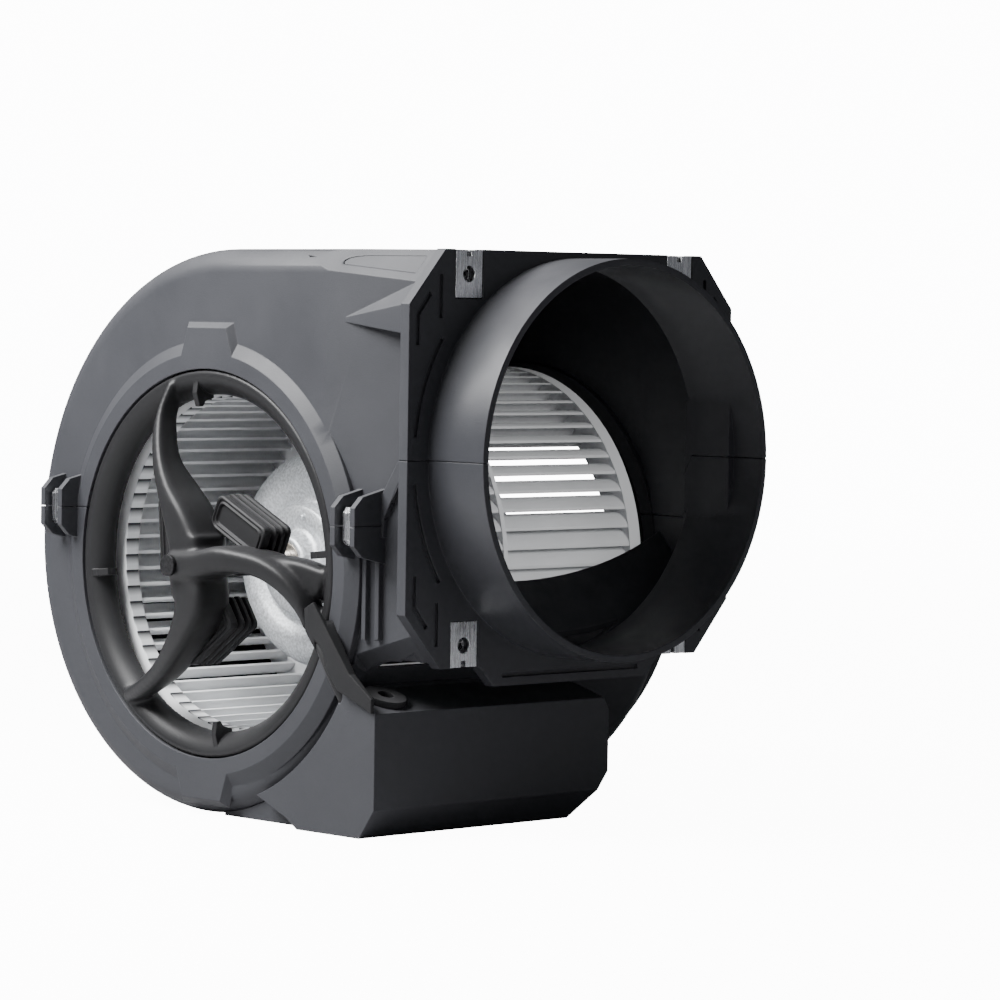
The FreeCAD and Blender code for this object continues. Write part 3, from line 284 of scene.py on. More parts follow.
def bumped(tree, shader, height, strength, distance, normal):
    """Bump from a height, over a softened normal."""
    made = add(tree, "ShaderNodeBump")
    made.inputs["Strength"].default_value = strength
    made.inputs["Distance"].default_value = distance
    wire(tree, height, made.inputs["Height"])
    wire(tree, normal, made.inputs["Normal"])
    wire(tree, made.outputs["Normal"], shader.inputs["Normal"])


def scaled_colour(colour, factor):
    """A colour made lighter or darker."""
    return tuple(min(part * factor, 1.0) for part in colour)


def plastic(name, colour, rough=(0.42, 0.58), fineness=1800.0, bump=0.18, wear=0.6, dust=0.25,
            radius=0.0006, gloss=0.35):
    """Moulded plastic: fine texture, broad tone, lighter rubbed edges and a little dust."""
    material, tree, shader = new_material(name)
    grain = placed_group(tree, "Moulded grain", Fineness=fineness)
    worn = placed_group(tree, "Edge wear", Radius=radius, Gain=wear)
    dusty = placed_group(tree, "Settled dust", Amount=dust)
    tone = mixed(tree, scaled_colour(colour, 0.86), scaled_colour(colour, 1.16), grain.outputs["Tone"])
    edged = mixed(tree, tone, scaled_colour(colour, 2.4), worn.outputs["Mask"])
    topped = mixed(tree, edged, (0.30, 0.30, 0.31), dusty.outputs["Mask"])
    wire(tree, topped, shader.inputs["Base Color"])
    wire(tree, ranged(tree, grain.outputs["Tone"], *rough, 0.3, 0.7), shader.inputs["Roughness"])
    shader.inputs["Specular IOR Level"].default_value = gloss
    bumped(tree, shader, grain.outputs["Height"], bump, 0.0002, worn.outputs["Normal"])
    return material


def metal(name, colour, rough=(0.25, 0.45), stretch=(900.0, 900.0, 900.0), metallic=1.0, bump=0.1,
          contrast=0.25, radius=0.0003):
    """Metal with flecks or brush lines, and brighter rubbed edges."""
    material, tree, shader = new_material(name)
    flecks = placed_group(tree, "Metal flecks", Stretch=stretch)
    worn = placed_group(tree, "Edge wear", Radius=radius, Gain=1.5)
    fleck = ranged(tree, flecks.outputs["Fleck"], 0.0, 1.0, 0.35, 0.65)
    tone = mixed(tree, scaled_colour(colour, 1.0 - contrast), scaled_colour(colour, 1.0 + contrast),
                 fleck)
    edged = mixed(tree, tone, scaled_colour(colour, 1.4), worn.outputs["Mask"])
    wire(tree, edged, shader.inputs["Base Color"])
    shader.inputs["Metallic"].default_value = metallic
    wire(tree, ranged(tree, flecks.outputs["Fleck"], *rough, 0.3, 0.7), shader.inputs["Roughness"])
    bumped(tree, shader, flecks.outputs["Fleck"], bump, 0.0002, worn.outputs["Normal"])
    return material


def housing_plastic(colour):
    """The shells' plastic: matte on the scroll, glossier on the outlet spigot and its flange."""
    material = plastic("housing_plastic", colour, rough=(0.46, 0.60), dust=0.22)
    tree = material.node_tree
    shader = tree.nodes["Principled BSDF"]
    where = add(tree, "ShaderNodeTexCoord")
    parts = add(tree, "ShaderNodeSeparateXYZ")
    wire(tree, where.outputs["Object"], parts.inputs["Vector"])
    forward = ranged(tree, parts.outputs["Y"], 0.16, 0.0, -0.004, 0.003)
    matte = shader.inputs["Roughness"].links[0].from_socket
    less = add(tree, "ShaderNodeMath", operation="SUBTRACT")
    wire(tree, matte, less.inputs[0])
    wire(tree, forward, less.inputs[1])
    wire(tree, less.outputs["Value"], shader.inputs["Roughness"])
    return material


def painted_blade_shadows(material, blades):
    """Paint the shadows of the gaps between the blades as dark stripes over the bore of the wheel's
    near end ring.
    """
    tree = material.node_tree
    shader = tree.nodes["Principled BSDF"]
    where = add(tree, "ShaderNodeTexCoord")
    centred = add(tree, "ShaderNodeVectorMath", operation="SUBTRACT")
    centred.inputs[1].default_value = (0.0, AXIS_Y, AXIS_Z)
    wire(tree, where.outputs["Object"], centred.inputs[0])
    parts = add(tree, "ShaderNodeSeparateXYZ")
    wire(tree, centred.outputs["Vector"], parts.inputs["Vector"])
    angle = add(tree, "ShaderNodeMath", operation="ARCTAN2")
    wire(tree, parts.outputs["Z"], angle.inputs[0])
    wire(tree, parts.outputs["Y"], angle.inputs[1])
    turns = add(tree, "ShaderNodeMath", operation="MULTIPLY")
    turns.inputs[1].default_value = blades / (2 * math.pi)
    wire(tree, angle.outputs["Value"], turns.inputs[0])
    part = add(tree, "ShaderNodeMath", operation="FRACT")
    wire(tree, turns.outputs["Value"], part.inputs[0])
    # Painted shade: the share of each blade's turn that is darkened like the shadow of the gap.
    gap_shade = ranged(tree, part.outputs["Value"], 0.0, 1.0, 0.35, 0.9)
    reach = add(tree, "ShaderNodeVectorMath", operation="MULTIPLY")
    reach.inputs[1].default_value = (0.0, 1.0, 1.0)
    wire(tree, centred.outputs["Vector"], reach.inputs[0])
    radius = add(tree, "ShaderNodeVectorMath", operation="LENGTH")
    wire(tree, reach.outputs["Vector"], radius.inputs[0])
    bore = ranged(tree, radius.outputs["Value"], 1.0, 0.0, 0.0640, 0.0641)
    end = ranged(tree, parts.outputs["X"], 1.0, 0.0, -0.0680, -0.0679)
    there = add(tree, "ShaderNodeMath", operation="MULTIPLY")
    wire(tree, bore, there.inputs[0])
    wire(tree, end, there.inputs[1])
    mask = add(tree, "ShaderNodeMath", operation="MULTIPLY")
    wire(tree, there.outputs["Value"], mask.inputs[0])
    wire(tree, gap_shade, mask.inputs[1])
    # Darken the bore with painted shadow where the stripes fall.
    plain = shader.inputs["Base Color"].links[0].from_socket
    wire(tree, mixed(tree, plain, (0.02, 0.02, 0.022), mask.outputs["Value"]),
         shader.inputs["Base Color"])
    return material


def laminated_steel():
    """Stack of stamped laminations, edge on."""
    material, tree, shader = new_material("laminated_steel")
    where = add(tree, "ShaderNodeTexCoord")
    sheets = add(tree, "ShaderNodeTexWave", wave_type="BANDS", bands_direction="X")
    sheets.inputs["Scale"].default_value = 320.0
    sheets.inputs["Distortion"].default_value = 0.4
    wire(tree, where.outputs["Object"], sheets.inputs["Vector"])
    worn = placed_group(tree, "Edge wear", Radius=0.0003, Gain=1.5)
    tone = mixed(tree, (0.10, 0.10, 0.11), (0.32, 0.32, 0.33), sheets.outputs["Fac"])
    wire(tree, tone, shader.inputs["Base Color"])
    shader.inputs["Metallic"].default_value = 0.9
    wire(tree, ranged(tree, sheets.outputs["Fac"], 0.55, 0.35), shader.inputs["Roughness"])
    bumped(tree, shader, sheets.outputs["Fac"], 0.4, 0.0002, worn.outputs["Normal"])
    return material


def wound_copper():
    """Enamelled copper wire wound in bundles."""
    material, tree, shader = new_material("wound_copper")
    where = add(tree, "ShaderNodeTexCoord")
    wires = add(tree, "ShaderNodeTexWave", wave_type="RINGS", rings_direction="X")
    wires.inputs["Scale"].default_value = 260.0
    wires.inputs["Distortion"].default_value = 3.0
    wires.inputs["Detail"].default_value = 2.0
    wire(tree, where.outputs["Object"], wires.inputs["Vector"])
    worn = placed_group(tree, "Edge wear", Radius=0.0003, Gain=1.5)
    tone = mixed(tree, (0.16, 0.045, 0.015), (0.55, 0.20, 0.07), wires.outputs["Fac"])
    wire(tree, tone, shader.inputs["Base Color"])
    shader.inputs["Metallic"].default_value = 0.8
    wire(tree, ranged(tree, wires.outputs["Fac"], 0.5, 0.28), shader.inputs["Roughness"])
    bumped(tree, shader, wires.outputs["Fac"], 0.6, 0.0003, worn.outputs["Normal"])
    return material


MATERIALS = {}
BLADE_COUNT = 64
NODE_FINISH = {
    "housing_plastic": ("upper_shell", "lower_shell", "control_box", "control_box_plate"),
    "support_plastic": ("far_inlet_ring", "motor_support", "lead_cover"),
    "wheel_plastic": ("wheel_near_half", "wheel_far_half", "wheel_disc"),
    "rubber": ("upper_damper", "rear_damper", "lower_damper", "cable_grommet"),
    "cast_metal": ("motor_cap_near", "motor_cap_far"),
    "spring_steel": ("seam_spring_clips", "flange_clip_nuts"),
    "dark_steel": ("support_screw",),
    "steel": ("control_box_screws", "motor_through_bolts", "motor_shaft", "wheel_nut",
              "capacitor_clamp"),
    "laminated_steel": ("stator_core", "rotor_core"),
    "wound_copper": ("stator_windings",),
    "bronze": ("near_bearing", "far_bearing", "wheel_bush"),
    "pale_plastic": ("run_capacitor", "terminal_block"),
    "lead_sheath": ("motor_lead",),
}


def make_materials(finish):
    """Every finish of the blower, by name."""
    MATERIALS["housing_plastic"] = housing_plastic(tuple(finish.housing))
    MATERIALS["support_plastic"] = plastic("support_plastic", tuple(finish.support), rough=(0.38, 0.5),
                                           fineness=2400.0, bump=0.08, dust=0.1, gloss=0.25)
    wheel = plastic("wheel_plastic", tuple(finish.wheel), rough=(0.42, 0.55), bump=0.05, wear=0.2,
                    dust=0.1, radius=0.0002)
    # The wheel's plastic, with painted blade shadows on the bore of its near end ring.
    MATERIALS["wheel_plastic"] = painted_blade_shadows(wheel, BLADE_COUNT)
    MATERIALS["rubber"] = plastic("rubber", tuple(finish.rubber), rough=(0.55, 0.72), bump=0.1,
                                  dust=0.15)
    MATERIALS["cast_metal"] = metal("cast_metal", tuple(finish.casting), rough=(0.38, 0.58),
                                    metallic=0.7, bump=0.4, contrast=0.2)
    MATERIALS["spring_steel"] = metal("spring_steel", (0.78, 0.79, 0.81), rough=(0.18, 0.34),
                                      stretch=(2600.0, 2600.0, 120.0), contrast=0.12)
    MATERIALS["steel"] = metal("steel", (0.50, 0.50, 0.52), rough=(0.22, 0.4))
    MATERIALS["laminated_steel"] = laminated_steel()
    MATERIALS["wound_copper"] = wound_copper()
    MATERIALS["dark_steel"] = metal("dark_steel", (0.05, 0.05, 0.052), rough=(0.4, 0.55))
    MATERIALS["bronze"] = metal("bronze", (0.50, 0.46, 0.40), rough=(0.3, 0.5))
    MATERIALS["pale_plastic"] = plastic("pale_plastic", (0.62, 0.61, 0.57), rough=(0.4, 0.5), bump=0.05)
    MATERIALS["lead_sheath"] = plastic("lead_sheath", (0.014, 0.014, 0.015), rough=(0.45, 0.6),
                                       bump=0.05)


# ---------------------------------------------------------------- mesh helpers

def from_axis(across, up, along):
    """A point in metres from millimetres: Y and Z from the wheel's axis, and X."""
    return Vector((along * MM, AXIS_Y + across * MM, AXIS_Z + up * MM))


def eased(stations, steps):
    """Stations with more between them, on a Catmull-Rom curve through each of their values."""
    rows = []
    for index in range(len(stations) - 1):
        before = stations[max(index - 1, 0)]
        start, end = stations[index], stations[index + 1]
        after = stations[min(index + 2, len(stations) - 1)]
        for step in range(steps):
            part = step / steps
            rows.append(tuple(
                0.5 * (2 * b + (c - a) * part + (2 * a - 5 * b + 4 * c - d) * part ** 2
                       + (3 * b - a - 3 * c + d) * part ** 3)
                for a, b, c, d in zip(before, start, end, after)))
    rows.append(tuple(stations[-1]))
    return rows


def skin(shape, loops, closed=False):
    """Faces between loops of vertices, with flat ends unless the last loop meets the first."""
    rings = [[shape.verts.new(spot) for spot in loop] for loop in loops]
    pairs = list(zip(rings, rings[1:]))
    if closed:
        pairs.append((rings[-1], rings[0]))
    for first, second in pairs:
        for index in range(len(first)):
            following = (index + 1) % len(first)
            shape.faces.new((first[index], first[following], second[following], second[index]))
    if not closed:
        shape.faces.new(list(reversed(rings[0])))
        shape.faces.new(rings[-1])
    return rings


def arm_loops(stations, steps=5, around=20, squareness=0.45):
    """Cross-sections of an arm; each station is (across, up, front, back, half width)."""
    rows = eased(stations, steps)
    loops = []
    for index, (across, up, front, back, half) in enumerate(rows):
        ahead, behind = rows[min(index + 1, len(rows) - 1)], rows[max(index - 1, 0)]
        run = Vector((ahead[0] - behind[0], ahead[1] - behind[1])).normalized()
        side = Vector((-run.y, run.x))
        loop = []
        for number in range(around):
            angle = 2 * math.pi * number / around
            wide = math.copysign(abs(math.cos(angle)) ** squareness, math.cos(angle))
            deep = math.copysign(abs(math.sin(angle)) ** squareness, math.sin(angle))
            loop.append(from_axis(across + side.x * half * wide, up + side.y * half * wide,
                                  (front + back) / 2 + deep * (back - front) / 2))
        loops.append(loop)
    return loops


def turned_loops(profile, segments=192):
    """Loops for a body of revolution about the wheel's axis, from (x, radius) points."""
    loops = []
    for index in range(segments):
        angle = 2 * math.pi * index / segments
        loops.append([from_axis(radius * math.cos(angle), radius * math.sin(angle), x)
                      for x, radius in profile])
    return loops


def finished(name, shape, finish, smooth=True):
    """An object from a mesh in the making, with its finish."""
    bmesh.ops.recalc_face_normals(shape, faces=shape.faces)
    mesh = bpy.data.meshes.new(name)
    shape.to_mesh(mesh)
    shape.free()
    for face in mesh.polygons:
        face.use_smooth = smooth
    mesh.materials.append(MATERIALS[finish])
    made = bpy.data.objects.new(name, mesh)
    bpy.context.scene.collection.objects.link(made)
    return made


def applied(made):
    """Apply an object's modifiers and keep its materials."""
    graph = bpy.context.evaluated_depsgraph_get()
    mesh = bpy.data.meshes.new_from_object(made.evaluated_get(graph))
    made.modifiers.clear()
    made.data = mesh
    for face in mesh.polygons:
        face.use_smooth = True


# ---------------------------------------------------------------- motor support

# Stations along each arm: Y and Z from the wheel's axis, X of its front and back, and half width.
UPPER_ARM = [(20.0, 68.8, -88.8, -78.0, 1.8), (21.8, 59.0, -92.4, -83.0, 1.7),
             (20.4, 49.2, -95.7, -85.5, 2.6), (15.9, 38.2, -98.9, -87.0, 3.2),
             (9.4, 27.7, -101.2, -84.0, 4.4), (2.4, 17.2, -102.0, -83.0, 7.0),
             (-3.5, 5.2, -101.8, -84.0, 9.0)]
LOWER_ARM = [(-4.0, -4.8, -101.8, -84.0, 9.0), (-6.0, -14.8, -102.3, -84.0, 8.0),
             (-1.2, -24.8, -101.8, -85.0, 5.8), (6.0, -33.3, -100.5, -86.0, 4.6),
             (16.5, -41.8, -97.8, -85.5, 3.7), (31.0, -49.3, -94.0, -84.0, 3.2),
             (46.0, -54.0, -89.0, -79.0, 3.0)]
HUB_WEB = [(-3.5, 12.0, -101.8, -84.0, 8.0), (-3.0, 0.0, -101.8, -84.0, 9.5),
           (-4.5, -12.0, -102.0, -84.0, 8.5)]
FRONT_ARM = [(3.0, 0.0, -104.0, -92.0, 5.2), (-11.5, 0.7, -104.0, -86.0, 5.4),
             (-22.5, 3.0, -103.0, -84.0, 5.4), (-32.5, 2.9, -101.2, -82.0, 4.7),
             (-42.5, 1.2, -98.7, -80.0, 4.4), (-51.5, -3.3, -96.2, -79.0, 4.2),
             (-58.0, -9.8, -93.8, -80.0, 3.4), (-61.5, -15.8, -92.2, -82.0, 2.3),
             (-63.0, -21.5, -91.0, -86.0, 0.8)]
FRONT_ARM_ROOT = [(-44.0, 1.5, -94.0, -80.0, 4.2), (-55.0, -0.5, -90.0, -79.0, 5.0),
                  (-66.0, -4.5, -86.5, -77.0, 6.0)]
# The ring's outer wall stops this far in front of the throat, and its rim is eased by this much.
OUTER_WALL_SHORT = 4.0
RIM_SOFT = 0.6


def bell_profile(settings):
    """Cross-section of the inlet ring as (x, radius) points: a bell mouth inside a short outer wall."""
    front, ring, bell, wall = (value / MM for value in (
        settings.front, settings.ring_radius, settings.bell_radius, settings.wall))
    middle = front + bell
    outside = []
    for index in range(13):
        angle = math.pi / 2 * index / 12
        outside.append((middle - bell * math.cos(angle), ring - bell * math.sin(angle)))
    inside = []
    for index in range(11):
        angle = math.pi / 2 * (1 - index / 10)
        inside.append((middle - (bell - wall) * math.cos(angle),
                       ring - (bell - wall) * math.sin(angle)))
    inside[-1] = (front + wall, ring - wall)
    skirt = middle - OUTER_WALL_SHORT
    return [(skirt, ring), (front + RIM_SOFT, ring)] + outside[1:] + inside + [(skirt, ring - wall)]


def add_fin(shape, angle, settings):
    """One of the four short fins inside the inlet ring."""
    front, ring, half = settings.front / MM, settings.ring_radius / MM, settings.fin_thick / MM / 2
    outline = [(front + 1.4, ring - 3.0), (front + 0.2, ring - 8.5), (front + 1.4, ring - 13.6),
               (front + 3.0, ring - 13.8), (front + 4.4, ring - 11.8), (front + 8.6, ring - 10.6),
               (front + 8.6, ring - 7.6)]
    sides = []
    for shift in (-half, half):
        loop = []
        for x, radius in outline:
            across = radius * math.cos(angle) - shift * math.sin(angle)
            up = radius * math.sin(angle) + shift * math.cos(angle)
            loop.append(from_axis(across, up, x))
        sides.append(loop)
    skin(shape, sides)


class BlowerSupport(bpy.types.PropertyGroup):
    """Sizes of the motor support's inlet ring."""
    front: FloatProperty(
        name="Front", description="X of the ring's front", unit="LENGTH", default=-0.0875)
    ring_radius: FloatProperty(
        name="Ring radius", description="Outer radius of the ring", unit="LENGTH", default=0.074)
    bell_radius: FloatProperty(
        name="Bell radius", description="Radius of the bell mouth's section", unit="LENGTH",
        default=0.0097)
    wall: FloatProperty(
        name="Wall", description="Wall of the ring", unit="LENGTH", default=0.0023)
    fin_thick: FloatProperty(
        name="Fin", description="Thickness of the short fins in the ring", unit="LENGTH",
        default=0.0026)
    fin_turn: FloatProperty(
        name="Fin turn", description="Turn of the fins about the wheel's axis", subtype="ANGLE",
        default=math.radians(-6))
    voxel: FloatProperty(
        name="Voxel", description="Grain of the blended surface", unit="LENGTH", default=0.0008)
    smoothing: IntProperty(
        name="Smoothing", description="Passes that round the joints of ring and arms", default=10)


def make_support(settings):
    """Inlet ring and three flowing arms, blended into one moulding, with crisp fins."""
    shape = bmesh.new()
    skin(shape, turned_loops(bell_profile(settings)), closed=True)
    for stations in (UPPER_ARM, LOWER_ARM, HUB_WEB, FRONT_ARM, FRONT_ARM_ROOT):
        skin(shape, arm_loops(stations))
    made = finished("support_ring_and_arms", shape, "support_plastic")
    blended = made.modifiers.new("blend", "REMESH")
    blended.mode = "VOXEL"
    blended.voxel_size = settings.voxel
    blended.use_smooth_shade = True
    rounded = made.modifiers.new("round", "SMOOTH")
    rounded.factor = 0.5
    rounded.iterations = settings.smoothing
    applied(made)
    shape = bmesh.new()
    shape.from_mesh(made.data)
    for index in range(4):
        add_fin(shape, math.pi / 2 * index + settings.fin_turn, settings)
    bmesh.ops.recalc_face_normals(shape, faces=shape.faces)
    shape.to_mesh(made.data)
    shape.free()
    made.data.materials.clear()
    made.data.materials.append(MATERIALS["support_plastic"])
    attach(made, "housing")
    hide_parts("motor_support")


# ---------------------------------------------------------------- rubber dampers

# Outline of a block in layers: depth behind its face, half length and half width.
DAMPER_LAYERS = [(0.9, 11.6, 3.2), (0.9, 12.2, 3.8), (-0.1, 12.7, 4.3), (-0.1, 13.1, 4.7),
                 (0.6, 13.4, 5.0), (0.6, 13.8, 5.4), (0.0, 14.1, 5.7), (0.0, 14.7, 6.3),
                 (0.5, 15.2, 6.8), (3.6, 15.2, 6.8), (4.0, 13.6, 5.4), (5.0, 13.6, 5.4),
                 (5.4, 15.6, 7.0), (6.8, 15.6, 7.0), (7.2, 14.0, 5.8), (8.2, 14.0, 5.8),
                 (8.6, 15.6, 7.2), (10.0, 15.6, 7.2), (10.4, 14.2, 6.0), (11.4, 14.2, 6.0),
                 (11.8, 15.2, 7.0), (13.4, 15.2, 7.0)]
# Where each block sits: degrees round the wheel's axis, then its distance and the X of its face.
DAMPER_SEATS = [("upper_damper", 145, 26.0, -89.0), ("rear_damper", 25, 23.0, -87.0),
                ("lower_damper", 265, 26.0, -88.5)]
DAMPER_TWIST = math.radians(-120)
DAMPER_CORNER = 2.6


def make_damper(name, angle, reach, front):
    """Rubber block: a framed front plate and flanks with steps, at an angle round the axis."""
    shape = bmesh.new()
    loops = []
    along = angle + DAMPER_TWIST
    for depth, half_long, half_short in DAMPER_LAYERS:
        corner = min(half_short * 0.55, DAMPER_CORNER)
        loop = []
        for quarter, (u, v) in enumerate(((1, 1), (-1, 1), (-1, -1), (1, -1))):
            for step in range(5):
                turn = math.pi / 2 * (quarter + step / 4)
                long = u * (half_long - corner) + corner * math.cos(turn)
                short = v * (half_short - corner) + corner * math.sin(turn)
                across = reach * math.cos(angle) + long * math.cos(along) - short * math.sin(along)
                up = reach * math.sin(angle) + long * math.sin(along) + short * math.cos(along)
                loop.append(from_axis(across, up, front + depth))
        loops.append(loop)
    skin(shape, loops)
    made = finished(name + "_block", shape, "rubber", smooth=False)
    softened = made.modifiers.new("soft edges", "BEVEL")
    softened.width = 0.0003
    softened.segments = 2
    softened.limit_method = "ANGLE"
    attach(made, "housing")
    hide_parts(name)


# ---------------------------------------------------------------- motor cap

# Sections as (x, radius) points round the wheel's axis, in millimetres.
CAP_PROFILE = [(-20.0, 42.9), (-24.0, 42.9), (-30.0, 42.2), (-34.5, 39.8), (-37.4, 36.0), (-38.2, 32.0),
               (-37.4, 28.6), (-35.6, 26.2), (-35.2, 24.2), (-36.4, 22.6), (-39.4, 21.6), (-40.0, 20.6),
               (-40.0, 14.5), (-39.4, 13.4), (-39.4, 12.2), (-41.0, 10.6), (-44.6, 9.6), (-45.8, 9.0),
               (-45.8, 7.2), (-40.0, 7.1), (-36.0, 9.0), (-33.0, 22.0), (-31.0, 34.0), (-26.0, 40.2),
               (-20.0, 41.2)]
SPINDLE_PROFILE = [(-84.0, 0.6), (-84.0, 5.4), (-60.0, 5.2), (-50.5, 5.2), (-49.6, 4.4), (-49.6, 0.6)]
RIVET_CIRCLE = 17.4
RIVET_X = -40.1
RIVET_RADIUS = 0.0013


def make_motor_cap():
    """Turned end cap of the motor with its raised disc and bearing boss, and its dark spindle."""
    shape = bmesh.new()
    skin(shape, turned_loops(CAP_PROFILE, 160), closed=True)
    for index in range(3):
        angle = math.radians(100 + 120 * index)
        centre = from_axis(RIVET_CIRCLE * math.cos(angle), RIVET_CIRCLE * math.sin(angle), RIVET_X)
        bmesh.ops.create_uvsphere(shape, u_segments=16, v_segments=10, radius=RIVET_RADIUS,
                                  matrix=Matrix.Translation(centre))
    made = finished("motor_cap_turned", shape, "cast_metal")
    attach(made, "housing")
    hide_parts("motor_cap_near")
    shape = bmesh.new()
    skin(shape, turned_loops(SPINDLE_PROFILE, 48), closed=True)
    spindle = finished("motor_spindle", shape, "rubber")
    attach(spindle, "housing")


# ---------------------------------------------------------------- neck corners

# Each corner on the +X side, in millimetres: the two ends of the cut at the flange, and its tip.
NECK_CORNERS = [
    (Vector((77.8, 4.9, 65.5)), Vector((67.8, 4.9, 77.0)), Vector((83.4, 58.0, 74.6))),
    (Vector((77.8, 4.9, -64.7)), Vector((69.2, 4.9, -74.5)), Vector((80.4, 27.0, -73.2)))]
CRISP_ANGLE = math.radians(24)
# How far the cutter goes along a cut, outwards and ahead of it, and its overrun as a factor.
CUT_REACH = 0.03
CUT_DEPTH = 0.02
CUT_LEAD = 0.0065
CUT_OVERRUN = 1.12
# The closing walls' thickness across X and Z, and the share of it that they are set in by.
CORNER_WALL = 0.0012
CORNER_INSET = 0.05


def corner_points(low, high, tip, side):
    """A neck corner's cut as three points in metres, on one side of the neck."""
    return [Vector((side * spot.x, spot.y, spot.z)) * MM for spot in (low, high, tip)]


def neck_cutter():
    """Blocks that take the neck's corners back to the flange's chamfers; they are never shown."""
    joined = bmesh.new()
    for side in (-1, 1):
        for corner in NECK_CORNERS:
            low, high, tip = corner_points(*corner, side)
            run = (high - low).normalized() * CUT_REACH
            out = Vector((side, 0.0, math.copysign(1.0, low.z))) * CUT_DEPTH
            past = low + (tip - low) * CUT_OVERRUN
            before = low + Vector((0.0, -CUT_LEAD, 0.0))
            sections = [[base + run, base - run, base - run + out, base + run + out]
                        for base in (before, low, past)]
            skin(joined, sections)
    bmesh.ops.recalc_face_normals(joined, faces=joined.faces)
    mesh = bpy.data.meshes.new("neck_cutter")
    joined.to_mesh(mesh)
    joined.free()
    return bpy.data.objects.new("neck_cutter", mesh)


def make_neck_corners():
    """Cut the neck's corners with a modifier and close them with sloping walls."""
    cutter = neck_cutter()
    for name in ("upper_shell", "lower_shell"):
        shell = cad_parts[name]
        taken = shell.modifiers.new("neck corners", "BOOLEAN")
        taken.operation = "DIFFERENCE"
        taken.solver = "EXACT"
        taken.object = cutter
        crisp = shell.modifiers.new("crisp edges", "EDGE_SPLIT")
        crisp.split_angle = CRISP_ANGLE
        evened = shell.modifiers.new("even shading", "WEIGHTED_NORMAL")
        evened.weight = 90
    shape = bmesh.new()
    for side in (-1, 1):
        for corner in NECK_CORNERS:
            low, high, tip = corner_points(*corner, side)
            inward = Vector((-side, 0.0, -math.copysign(1.0, low.z))) * CORNER_WALL
            shift = inward * CORNER_INSET
            skin(shape, [[low + shift, high + shift, tip + shift],
                         [low + inward, high + inward, tip + inward]])
    made = finished("neck_corner_walls", shape, "housing_plastic", smooth=False)
    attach(made, "housing")


# ---------------------------------------------------------------- seam shade sheet

# The sheet's half height, and its runs beside the spigot as X and Y spans, in millimetres.
SEAM_HALF = 0.11
SEAM_RUNS = [((72.7, 74.8), (-28.9, 6.0)), ((74.8, 84.9), (0.3, 4.5)), ((74.0, 76.5), (4.5, 5.0))]


def make_seam_shade_sheet():
    """Thin dark sheet that closes the seam between the shells beside the spigot; its dark colour is
    painted shade in the seam.
    """
    shape = bmesh.new()
    for side in (-1, 1):
        for (inner, outer), (start, end) in SEAM_RUNS:
            corners = [(inner, start), (outer, start), (outer, end), (inner, end)]
            loops = [[Vector((side * x, y, height)) * MM for x, y in corners]
                     for height in (-SEAM_HALF, SEAM_HALF)]
            skin(shape, loops)
    # Dark rubber colour on the sheet: painted shade in the seam between the shells.
    made = finished("seam_shade_sheet", shape, "rubber", smooth=False)
    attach(made, "housing")


# ---------------------------------------------------------------- operators

class BLOWER_OT_finishes(bpy.types.Operator):
    """Make the finishes and give each moulded, turned or pressed part its own"""
    bl_idname = "blower.finishes"
    bl_label = "Finishes"

    def execute(self, context):
        make_materials(context.scene.blower_finish)
        for finish, names in NODE_FINISH.items():
            for name in names:
                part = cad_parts[name]
                part.data.materials.clear()
                part.data.materials.append(MATERIALS[finish])
        return {"FINISHED"}


class BLOWER_OT_support(bpy.types.Operator):
    """Mould the inlet ring and the three arms that hold the motor"""
    bl_idname = "blower.support"
    bl_label = "Motor support"

    def execute(self, context):
        make_support(context.scene.blower_support)
        return {"FINISHED"}


class BLOWER_OT_dampers(bpy.types.Operator):
    """Mould the three rubber blocks between the support and the motor"""
    bl_idname = "blower.dampers"
    bl_label = "Dampers"

    def execute(self, context):
        for name, angle, reach, front in DAMPER_SEATS:
            make_damper(name, math.radians(angle), reach, front)
        return {"FINISHED"}


class BLOWER_OT_motor(bpy.types.Operator):
    """Turn the motor's near end cap and its spindle"""
    bl_idname = "blower.motor"
    bl_label = "Motor cap"

    def execute(self, context):
        make_motor_cap()
        return {"FINISHED"}


class BLOWER_OT_corners(bpy.types.Operator):
    """Slope the neck's corners back from the flange's chamfers"""
    bl_idname = "blower.corners"
    bl_label = "Neck corners"

    def execute(self, context):
        make_neck_corners()
        return {"FINISHED"}


class BLOWER_OT_seam_shade(bpy.types.Operator):
    """Lay the thin dark sheet of painted shade in the seam of the spigot"""
    bl_idname = "blower.seal"
    bl_label = "Seam shade sheet"

    def execute(self, context):
        make_seam_shade_sheet()
        return {"FINISHED"}


class BLOWER_OT_stage(bpy.types.Operator):
    """Set up the floor, the lights and the camera"""
    bl_idname = "blower.stage"
    bl_label = "Stage"

    def execute(self, context):
        make_floor()
        make_lights(context.scene.blower_stage)
        make_camera(context.scene, context.scene.blower_stage)
        return {"FINISHED"}


# ---------------------------------------------------------------- stage

FLOOR_RADIUS = 2.4
FLOOR_GAP = 0.0002


